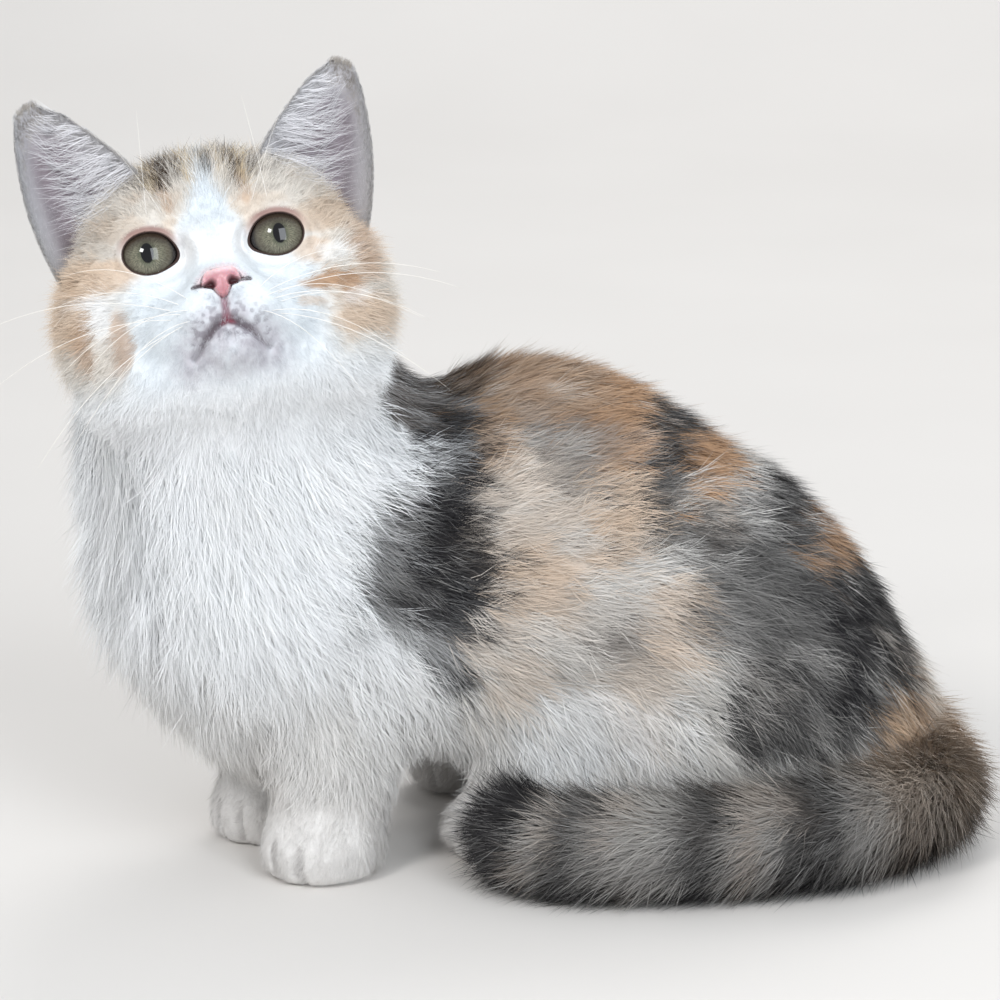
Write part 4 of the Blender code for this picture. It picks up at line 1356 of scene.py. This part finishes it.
def body_clumps(mesh, combs, seed):
    """Roots of the coat on head and body with all that a hair needs."""
    place, normal = scattered(mesh, coat_gap, seed)
    head = to_head(place)
    lids, upper = nearest_opening(head)
    mouth = 0.35 + 0.45 * ease(9, 3, np.hypot(head[:, 1], head[:, 2] - MOUTH_MIDDLE[1]))
    bald = (lids < 0.85 + 0.3 * upper**1.5) | (mouth_distance(head) < mouth)
    bald |= fold_distance(head) < 0.2
    bald |= (nose_share(head) > 0.3) & (head[:, 2] < NOSE_MIDDLE[2] + 2.6)
    bald |= (place[:, 2] < 1.0) & (normal[:, 2] < -0.7)
    keep = ~bald
    place, normal = place[keep], normal[keep]
    way, length, depth = coat_lie(place, combs)
    way, normal, depth = gathered(place, way, normal, depth)
    on_head = head_share(place)
    astray = (dice(len(place), seed + 5) > 0.88) * ease(-25, -5, place[:, 0])
    strewn = (9.0 - 7.5 * on_head) * (dice(len(place), seed + 3) - 0.5) * (1 + 1.8 * astray)
    seen = place + (0.5 * length + strewn)[:, None] * way
    seen = seen + 1.2 * (dice(place.shape, seed + 2) - 0.5)
    colour = skin_markings(seen)
    vivid = (0.45 - 0.25 * on_head) * (1.1 - colour[:, 1])
    shade = 1.0 + vivid * (dice(len(place), seed + 4) - 0.5)
    colour = np.clip(colour * shade[:, None], 0, 0.92)
    return [place, normal, way, length, depth, colour,
            tick_share(colour, place, seed + 1), None]


def chosen(clumps, mask, chart):
    """The clumps where the mask is true, with their places on the unwrap."""
    part = [None if field is None else field[mask] for field in clumps]
    part[-1] = chart[mask]
    return part


def body_coat(mesh, combs):
    """The coat of head and body in pieces: face, crown, chest, flanks, rump and legs."""
    clumps = body_clumps(mesh, combs, 11)
    place = clumps[0]
    head = to_head(place)
    on_head = head_share(place) > 0.5
    face = on_head & (head[:, 0] > -22)
    crown = on_head & ~face
    foot = ~on_head & (place[:, 2] < 24) & (place[:, 0] < 30)
    front = ~on_head & ~foot & (place[:, 0] < -14)
    bib = front & (place[:, 1] < -24)
    shoulder = front & (place[:, 1] >= -24)
    behind = ~on_head & ~foot & (place[:, 0] >= -14)
    middle = np.interp(place[:, 0], [-14, 115], [-2, 10])
    near = behind & (place[:, 1] < middle) & (place[:, 0] < 52)
    near_rump = behind & (place[:, 1] < middle) & (place[:, 0] >= 52)
    far = behind & (place[:, 1] >= middle)
    skull = from_head([SKULL_MIDDLE])[0]
    around_head = chart_round(place, skull, 2, 100, 200)
    around_chest = chart_round(place, (-58, -24, 0), 2, 0, 145)
    around_body = chart_round(place, (0, 2, 60), 0, -20, 125)
    charts = [
        ("coat_face", face, around_head, 8, 0.9, 0.25, 1),
        ("coat_crown", crown, around_head, 8, 1.2, 0.30, 1),
        ("coat_chest_near", bib, around_chest, 11, 2.2, 0.42, 2),
        ("coat_chest_far", shoulder, around_chest, 9, 2.2, 0.42, 2),
        ("coat_flank_near", near, around_body, 11, 1.8, 0.42, 2),
        ("coat_rump_near", near_rump, around_body, 11, 1.8, 0.42, 2),
        ("coat_side_far", far, around_body, 10, 1.9, 0.32, 1),
        ("coat_feet", foot, around_chest, 8, 1.2, 0.30, 1),
    ]
    meshes = []
    for number, (name, mask, chart, hairs, spread, pull, bends) in enumerate(charts):
        part = chosen(clumps, mask, chart)
        widths = hair_width(part[0]) * (0.75 + 0.5 * dice(len(part[0]), 90 + number))
        meshes.append(hair(name, part, hairs, spread, widths, pull, 200 + number, bends))
        print(name, len(part[0]), "clumps", len(meshes[-1].polygons), "faces")
    return meshes


def grid_clumps(grid, count, seed, closed=True):
    """Random places on a grid of points: place, normal, along-column way and the grid place."""
    rows, columns, _ = grid.shape
    across = np.roll(grid, -1, axis=1) - grid
    along = np.gradient(grid, axis=0)
    size = np.linalg.norm(np.cross(along, across), axis=-1)
    chance = np.random.default_rng(seed)
    weight = size.ravel() / size.sum()
    cell = chance.choice(rows * columns, count, p=weight)
    i, j = cell // columns, cell % columns
    a, b = chance.random((2, count))
    base = grid[i, j]
    next_row = grid[np.minimum(i + 1, rows - 1), j]
    next_column = grid[i, (j + 1) % columns]
    place = base + a[:, None] * (next_row - base) + b[:, None] * (next_column - base)
    normal = unit(np.cross(across, along)[i, j])
    chart = np.column_stack([(j + b) / columns, (i + a) / rows])
    return place, normal, unit(along[i, j]), i, j, 0.01 + 0.98 * chart


def ear_coat(side, number):
    """Short hair over an ear, and the long pale hairs that sweep across its hollow."""
    grid, across, rise, angle = ear_grid(side, EAR_RINGS, EAR_SIDES, EAR_COAT)
    place, normal, way, i, j, chart = grid_clumps(grid, 6500, 300 + number)
    outward = -side if np.linalg.det(AXES) > 0 else side
    normal = normal * outward
    colour, inside = ear_colours(across, rise, angle)
    flat_index = i * EAR_SIDES + j
    colour, inside = colour[flat_index], inside[flat_index]
    up = np.linspace(0, 1, EAR_RINGS)[i]
    cross = 0.5 + 0.5 * np.cos(2 * math.pi * j / EAR_SIDES)
    rim = ease(0.16, 0.04, np.minimum(cross, 1 - cross))
    colour = blend(colour, (0.57, 0.555, 0.575), (0.05 + 0.4 * dice(len(place), 315)) * inside)
    colour = blend(colour, (0.80, 0.80, 0.81), 0.85 * rim)
    length = np.where(inside > 0.5, 2.6, 2.3) * (1 - 0.4 * ease(0.85, 1.0, up))
    keep = dice(len(place), 310 + number) > 0.3 * inside * (1 - rim)
    pick = [field[keep] for field in (place, normal, way, length, colour, chart)]
    place, normal, way, length, colour, chart = pick
    depth = np.full(len(place), 0.5)
    tick = tick_share(colour, place, 320 + number)
    clumps = [place, normal, way, length, depth, colour, tick, chart]
    widths = np.full(len(place), 0.14)
    name = "coat_ear_left" if side > 0 else "coat_ear_right"
    return hair(name, clumps, 4, 0.8, widths, 0.3, 330 + number, 1)


def ear_furnishings(side, number):
    """Long pale hairs from the ear's front edge, sweeping over the hollow towards its tip."""
    count = 190
    chance = np.random.default_rng(350 + number)
    grid, *_ = ear_grid(side, EAR_RINGS, EAR_SIDES, EAR_COAT)
    i = chance.integers(1, 38, count)
    j = EAR_SIDES // 2 - chance.integers(1, 16, count)
    place = grid[i, j]
    outer = grid[np.minimum(i + 7, EAR_RINGS - 1), 4]
    way = unit(outer - place)
    normal = np.tile(unit(AXES[0] + 0.1 * AXES[2]), (count, 1))
    normal = laid(normal, way)
    length = chance.uniform(8, 24, count) * (1 - 0.65 * i / 38)
    depth = 0.16 * length
    colour = np.tile((0.74, 0.73, 0.75), (count, 1))
    chart = 0.01 + 0.98 * np.column_stack([j / EAR_SIDES, i / EAR_RINGS])
    clumps = [place, normal, way, length, depth, colour, np.zeros(count), chart]
    name = "ear_hairs_left" if side > 0 else "ear_hairs_right"
    return hair(name, clumps, 4, 0.9, np.full(count, 0.15), 0.45, 360 + number, 4)


def tail_coat(name, half):
    """Half of the tail's long coat, lying towards its tip and standing out a little."""
    grid, along, ring, turns, shares = tail_grid()
    place, normal, _, i, j, chart = grid_clumps(grid, 4600, 400 + half)
    flat_index = i * TAIL_SIDES + j
    normal, way = ring[flat_index], along[flat_index]
    share, turn = shares[flat_index], turns[flat_index]
    fall = np.array([0.0, 0.0, -1.0])
    way = laid(way + 0.25 * fall + 0.25 * ease(0.93, 1.0, share)[:, None] * normal, normal)
    length = 15.0 * (1 - 0.25 * ease(0.85, 1.0, share))
    depth = np.full(len(place), TAIL_COAT * 0.85)
    colour = tail_markings(turn, share, place)
    tick = tick_share(colour, place, 410)
    clumps = [place, normal, way, length, depth, colour, tick, chart]
    width = 0.30 * (0.8 + 0.4 * dice(len(place), 420))
    return hair(name, clumps, 6, 2.0, width, 0.5, 430 + half, 2)


def eyeball(side):
    """An eye as rows of points from its front to its back, with the clear front bulging.

    The radius grows by a cosine bump over the front 40 degrees, as a cornea does.
    """
    centre = from_head(eye_middle(side))
    look = unit(np.array(GAZE) * (1, side, 1) @ AXES)
    left_way = unit(AXES[1] - (AXES[1] @ look) * look)
    axes = np.array([look, left_way, np.cross(look, left_way)])
    polar = np.linspace(0.0, math.pi, 60) ** 1.0
    turn = np.linspace(0, 2 * math.pi, 72, endpoint=False)
    bulge = 0.35 * (0.5 + 0.5 * np.cos(np.clip(polar / 0.75, 0, 1) * math.pi))
    radius = EYE_RADIUS - 0.2 + bulge
    front = (radius * np.cos(polar))[:, None] * np.ones_like(turn)
    left = (radius * np.sin(polar))[:, None] * np.cos(turn)
    up = (radius * np.sin(polar))[:, None] * np.sin(turn)
    grid = centre + np.stack([front, left, up], axis=-1) @ axes
    name = "eyeball_left" if side > 0 else "eyeball_right"
    mesh = sheet_mesh(name, grid, closed=True)
    store(mesh, "gaze", np.stack([left, up, front], axis=-1).reshape(-1, 3))
    return mesh


def lid_edge(side):
    """The dark wet edge of an eye's opening: a thin roll carried round the almond, with the
    inner corner drawn out and down into the tear duct."""
    count, sides = 120, 8
    turn = np.linspace(0, 2 * math.pi, count, endpoint=False)
    a, b = OPENING_HALF[0] * np.cos(turn), OPENING_HALF[1] * np.sin(turn)
    bearing, width, drawn = OPENING_CORNER
    corner = np.exp(-((np.arctan2(b, -a) - bearing) / width) ** 2)
    a = a * (1 + drawn * corner) + OPENING_SHIFT[0]
    b = b * (1 + drawn * corner) + OPENING_SHIFT[1]
    fore = np.sqrt(np.clip(EYE_RADIUS**2 - a**2 - b**2, 1.0, None))
    way = unit(np.column_stack([fore, a * side, b]) @ face_views())
    middle = eye_middle(side) + (EYE_RADIUS + 0.15) * way
    tangent = unit(np.roll(middle, -1, axis=0) - np.roll(middle, 1, axis=0))
    aside = unit(np.cross(tangent, way))
    thick = 0.20 + 0.16 * corner + 0.05 * np.clip(np.sin(turn), 0, 1)
    circle = np.linspace(0, 2 * math.pi, sides, endpoint=False)
    ring = (np.cos(circle)[None, :, None] * way[:, None]
            + np.sin(circle)[None, :, None] * aside[:, None])
    grid = middle[:, None] + thick[:, None, None] * ring
    grid = np.concatenate([grid, grid[:1]])
    name = "lid_edge_left" if side > 0 else "lid_edge_right"
    return sheet_mesh(name, from_head(grid.reshape(-1, 3)).reshape(grid.shape), closed=True)


def nose_leather(face):
    """The nose leather: a cushion on the face, wide above and narrow below, with two
    nostrils that curl outwards and a groove down its middle.

    Columns run from side to side over the outline's half width at each height. The cushion
    drops below the skin along its edge, and each nostril is a deep dent that narrows
    outwards.
    """
    rows, columns = 64, 72
    height = np.linspace(NOSE_HEIGHTS[0], NOSE_HEIGHTS[-1], rows)[:, None]
    share = np.linspace(-1, 1, columns)[None]
    wide = np.interp(height, NOSE_HEIGHTS, NOSE_WIDTHS)
    left = wide * share
    up = height + NOSE_MIDDLE[2] + 0 * left
    side = np.abs(left)
    edge = np.maximum(np.abs(share), np.abs(height - 0.05) / 3.55)
    flat = np.column_stack([np.full(left.size, 10.0), left.ravel(), up.ravel()])
    bed = NOSE_BED * nose_share(flat).reshape(left.shape)
    fore = surface_under(face, left, up) + bed + 0.30 - 2.2 * ease(0.82, 1.0, edge)
    across = np.where(side < 2.6, 1.1, 2.4)
    high = np.interp(side, [2.6, 4.8], [1.25, 0.35])
    middle = -0.35 + 0.15 * (side - 2.6)
    away = np.hypot((side - 2.6) / across, (height - middle) / high)
    nostril = np.exp(-away**4)
    wing = np.exp(-((away - 1.35) / 0.35) ** 2)
    groove = np.exp(-(left / 0.30) ** 2) * ease(1.5, -0.5, height)
    fore = fore - 1.9 * nostril + 0.25 * wing - 0.25 * groove
    grid = np.stack([fore, left, up], axis=-1)
    mesh = sheet_mesh("nose_leather", from_head(grid.reshape(-1, 3)).reshape(grid.shape))
    # painted shade for the nostrils: how dark the dents are painted
    dark = np.clip(nostril * 1.2, 0, 1)
    pale = np.maximum(ease(1.2, 3.4, height), 0.5 * ease(0.6, 0.95, np.abs(share)))
    store(mesh, "detail", np.stack([dark, groove, pale], axis=-1).reshape(-1, 3))
    return mesh


def whiskers(face):
    """Whiskers and brow hairs: round and tapering.

    A whisker's middle line is a quadratic curve from its root on the face to its tip, bowed
    upwards by its arch; its radius falls to a point with the root of 1 - t.
    """
    sets = []
    chance = np.random.default_rng(500)
    for side in (1, -1):
        for row, tip_up in enumerate((-16.0, -30.0, -47.0)):
            for step in range(3):
                left = 8.0 + 2.4 * step
                up = -17.5 - 2.3 * row - 0.3 * step
                reach = (58.0, 57.0, 49.0)[row] - 9.0 * (2 - step)
                tip = (2.0 - 3.0 * step, side * reach, tip_up + 3.0 * (2 - step))
                sets.append(((left * side, up), tip, 8.0, 0.095))
        for step in range(2):
            tip = (6.0 - 6.0 * step, side * (18.0 - 5.0 * step), 31.0 + 1.5 * step)
            sets.append(((side * (11.0 + 4.0 * step), 9.5), tip, 0.5, 0.055))
    count, sides = 18, 5
    t = np.linspace(0, 1, count)[:, None]
    turn = np.linspace(0, 2 * math.pi, sides, endpoint=False)
    meshes = []
    for number, ((left, up), tip, arch, thick) in enumerate(sets):
        fore = surface_under(face, np.array([left]), np.array([up]))[0] if up < 0 else -3.0
        root = np.array([fore - 0.5, left, up])
        tip = np.array(tip) + (2.0, 3.0, 3.5) * chance.standard_normal(3)
        middle = 0.5 * (root + tip) + (5.0, 0.0, arch)
        path = from_head((1 - t) ** 2 * root + 2 * t * (1 - t) * middle + t**2 * tip)
        along = unit(np.gradient(path, axis=0))
        aside = unit(np.cross(along, AXES[0]))
        over = np.cross(aside, along)
        radius = thick * np.sqrt(1 - t)
        ring = (np.cos(turn)[None, :, None] * aside[:, None]
                + np.sin(turn)[None, :, None] * over[:, None])
        grid = path[:, None] + radius[..., None] * ring
        mesh = sheet_mesh(f"hair_{number}", grid, closed=True)
        store(mesh, "strand", np.repeat(t, 3 * sides).reshape(-1, 3))
        meshes.append(outward(mesh))
    return meshes


def joined(name, meshes):
    """One mesh of many."""
    bm = bmesh.new()
    for mesh in meshes:
        bm.from_mesh(mesh)
    whole = bpy.data.meshes.new(name)
    bm.to_mesh(whole)
    bm.free()
    whole.polygons.foreach_set("use_smooth", np.ones(len(whole.polygons), bool))
    return whole


def capped(grid, slit=False):
    """The grid with a row at each end that is drawn to a point or, where the last ring is a
    bent slit, to the line half way between its two long sides."""
    first, last = (np.broadcast_to(row.mean(0), (1, *row.shape)) for row in (grid[0], grid[-1]))
    if slit:
        last = 0.5 * (grid[-1:] + np.roll(grid[-1:, ::-1], 1, axis=1))
    return np.concatenate([first, grid, last])


def outward(mesh):
    """Merge a mesh's points that coincide and turn its faces to look out."""
    bm = bmesh.new()
    bm.from_mesh(mesh)
    bmesh.ops.remove_doubles(bm, verts=bm.verts, dist=1e-7)
    bmesh.ops.recalc_face_normals(bm, faces=bm.faces)
    bm.to_mesh(mesh)
    bm.free()
    return mesh


def piece(mesh, material, slot, *nodes):
    """Put a mesh in the scene with its material and hide the nodes it replaces; the record slot
    is not used.
    """
    mesh.materials.clear()
    mesh.materials.append(material)
    made = link(mesh.name, mesh)
    if nodes:
        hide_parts(*nodes)
    return made


def build_kitten():
    """Skin, eyes, nose leather, whiskers and coat."""
    combs = comb_table()
    skin, coat = skin_finish(), coat_finish()
    body = body_skin(combs)
    colour, detail = skin_colours(read(body, "co"))
    store(body, "pigment", colour)
    store(body, "detail", detail)
    parts = [body]
    for side in (1, -1):
        grid, across, rise, angle = ear_grid(side, EAR_RINGS, EAR_SIDES, EAR_COAT)
        ear = sheet_mesh("ear", capped(grid, slit=True), closed=True)
        colour, inside = ear_colours(across, rise, angle)
        tip = np.arange(len(colour) - EAR_SIDES, len(colour))
        ends = [np.zeros(EAR_SIDES, int), np.arange(len(colour)), tip]
        ends = np.concatenate(ends)
        store(ear, "pigment", colour[ends])
        store(ear, "detail", np.column_stack([0.6 * inside[ends]] * 3))
        parts.append(outward(ear))
    grid, _, _, turns, shares = tail_grid()
    tail = sheet_mesh("tail", capped(grid), closed=True)
    ends = np.concatenate([turns[:TAIL_SIDES] * 0, np.arange(len(turns)),
                           turns[:TAIL_SIDES] * 0 - 1]).astype(int)
    store(tail, "pigment", tail_markings(turns, shares, grid.reshape(-1, 3))[ends])
    store(tail, "detail", np.zeros((len(ends), 3)))
    parts.append(outward(tail))
    piece(joined("skin", parts), skin, "patched_coat", *BODY_NODES, *EAR_NODES, *TAIL_NODES)
    eye, rim = eye_finish(), rim_finish()
    for side, node in ((1, "eye_left"), (-1, "eye_right")):
        piece(outward(eyeball(side)), eye, "eye", node)
        piece(outward(lid_edge(side)), rim, "face_coat")
    face = to_head(read(body, "co"))
    piece(nose_leather(face), leather_finish(), "nose_leather", "nose")
    piece(joined("whiskers", whiskers(face)), whisker_finish(), "face_coat")
    for mesh in body_coat(body, combs):
        piece(mesh, coat, "patched_coat")
    piece(tail_coat("coat_tail", 0), coat, "tail_coat")
    piece(tail_coat("coat_tail_under", 7), coat, "tail_coat")
    for number, side in enumerate((1, -1)):
        piece(ear_coat(side, number), coat, "face_coat")
        piece(ear_furnishings(side, number), coat, "face_coat")


def build_camera():
    """A long lens that looks down a little, level with the middle of the picture."""
    lens = bpy.data.cameras.new("camera")
    lens.sensor_width = SENSOR
    lens.lens = SENSOR * CAMERA_DISTANCE / PICTURE_WIDTH
    lens.clip_end = 10.0
    camera = bpy.data.objects.new("camera", lens)
    target = Vector((np.array(CAMERA_TARGET) + POSE_SHIFT) * MM)
    camera.location = Vector((camera_place() + POSE_SHIFT) * MM)
    camera.rotation_euler = (target - camera.location).to_track_quat("-Z", "Y").to_euler()
    bpy.context.scene.collection.objects.link(camera)
    bpy.context.scene.camera = camera


def build_floor():
    """A pale floor that turns up softly far behind."""
    u = np.linspace(-1, 1, 40)
    depth = np.linspace(-1500, 2200, 80)
    rise = 900 * ease(900, 2200, depth) ** 1.5
    grid = np.stack(np.broadcast_arrays(2600 * u[None], depth[:, None], rise[:, None]), axis=-1)
    mesh = outward(sheet_mesh("floor", grid))
    made = Finish("floor", Roughness=0.8)
    grain = made.noise(made.place(), 8.0)
    made.colour(made.between(grain, (0.70, 0.67, 0.64), (0.74, 0.71, 0.68)))
    mesh.materials.append(made.material)
    floor = bpy.data.objects.new("floor", mesh)
    bpy.context.scene.collection.objects.link(floor)


def soft_light(name, place, size, power, tint=(1.0, 1.0, 1.0)):
    """A soft light aimed at the kitten's middle."""
    lamp = bpy.data.lights.new(name, "AREA")
    lamp.shape = "RECTANGLE"
    lamp.size, lamp.size_y = size
    lamp.energy = power
    lamp.color = tint
    made = bpy.data.objects.new(name, lamp)
    made.location = place
    aim = Vector((0, 0, 0.09)) - made.location
    made.rotation_euler = aim.to_track_quat("-Z", "Y").to_euler()
    bpy.context.scene.collection.objects.link(made)


def build_light():
    """A large key light from the upper left, a fill from the right and a pale surround."""
    soft_light("key", (-0.75, -1.05, 1.15), (0.36, 0.36), 11.0)
    soft_light("window", (0.54, -1.15, 0.80), (0.66, 1.2), 14.0, (0.90, 0.95, 1.0))
    soft_light("back", (0.3, 1.1, 1.2), (0.8, 0.8), 8.0)
    world = bpy.data.worlds.new("studio")
    world.use_nodes = True
    surround = world.node_tree.nodes["Background"]
    surround.inputs["Color"].default_value = (0.92, 0.96, 1.0, 1.0)
    surround.inputs["Strength"].default_value = 0.60
    bpy.context.scene.world = world


bpy.context.scene.view_settings.view_transform = "Standard"
build_camera()
build_floor()
build_light()
build_kitten()
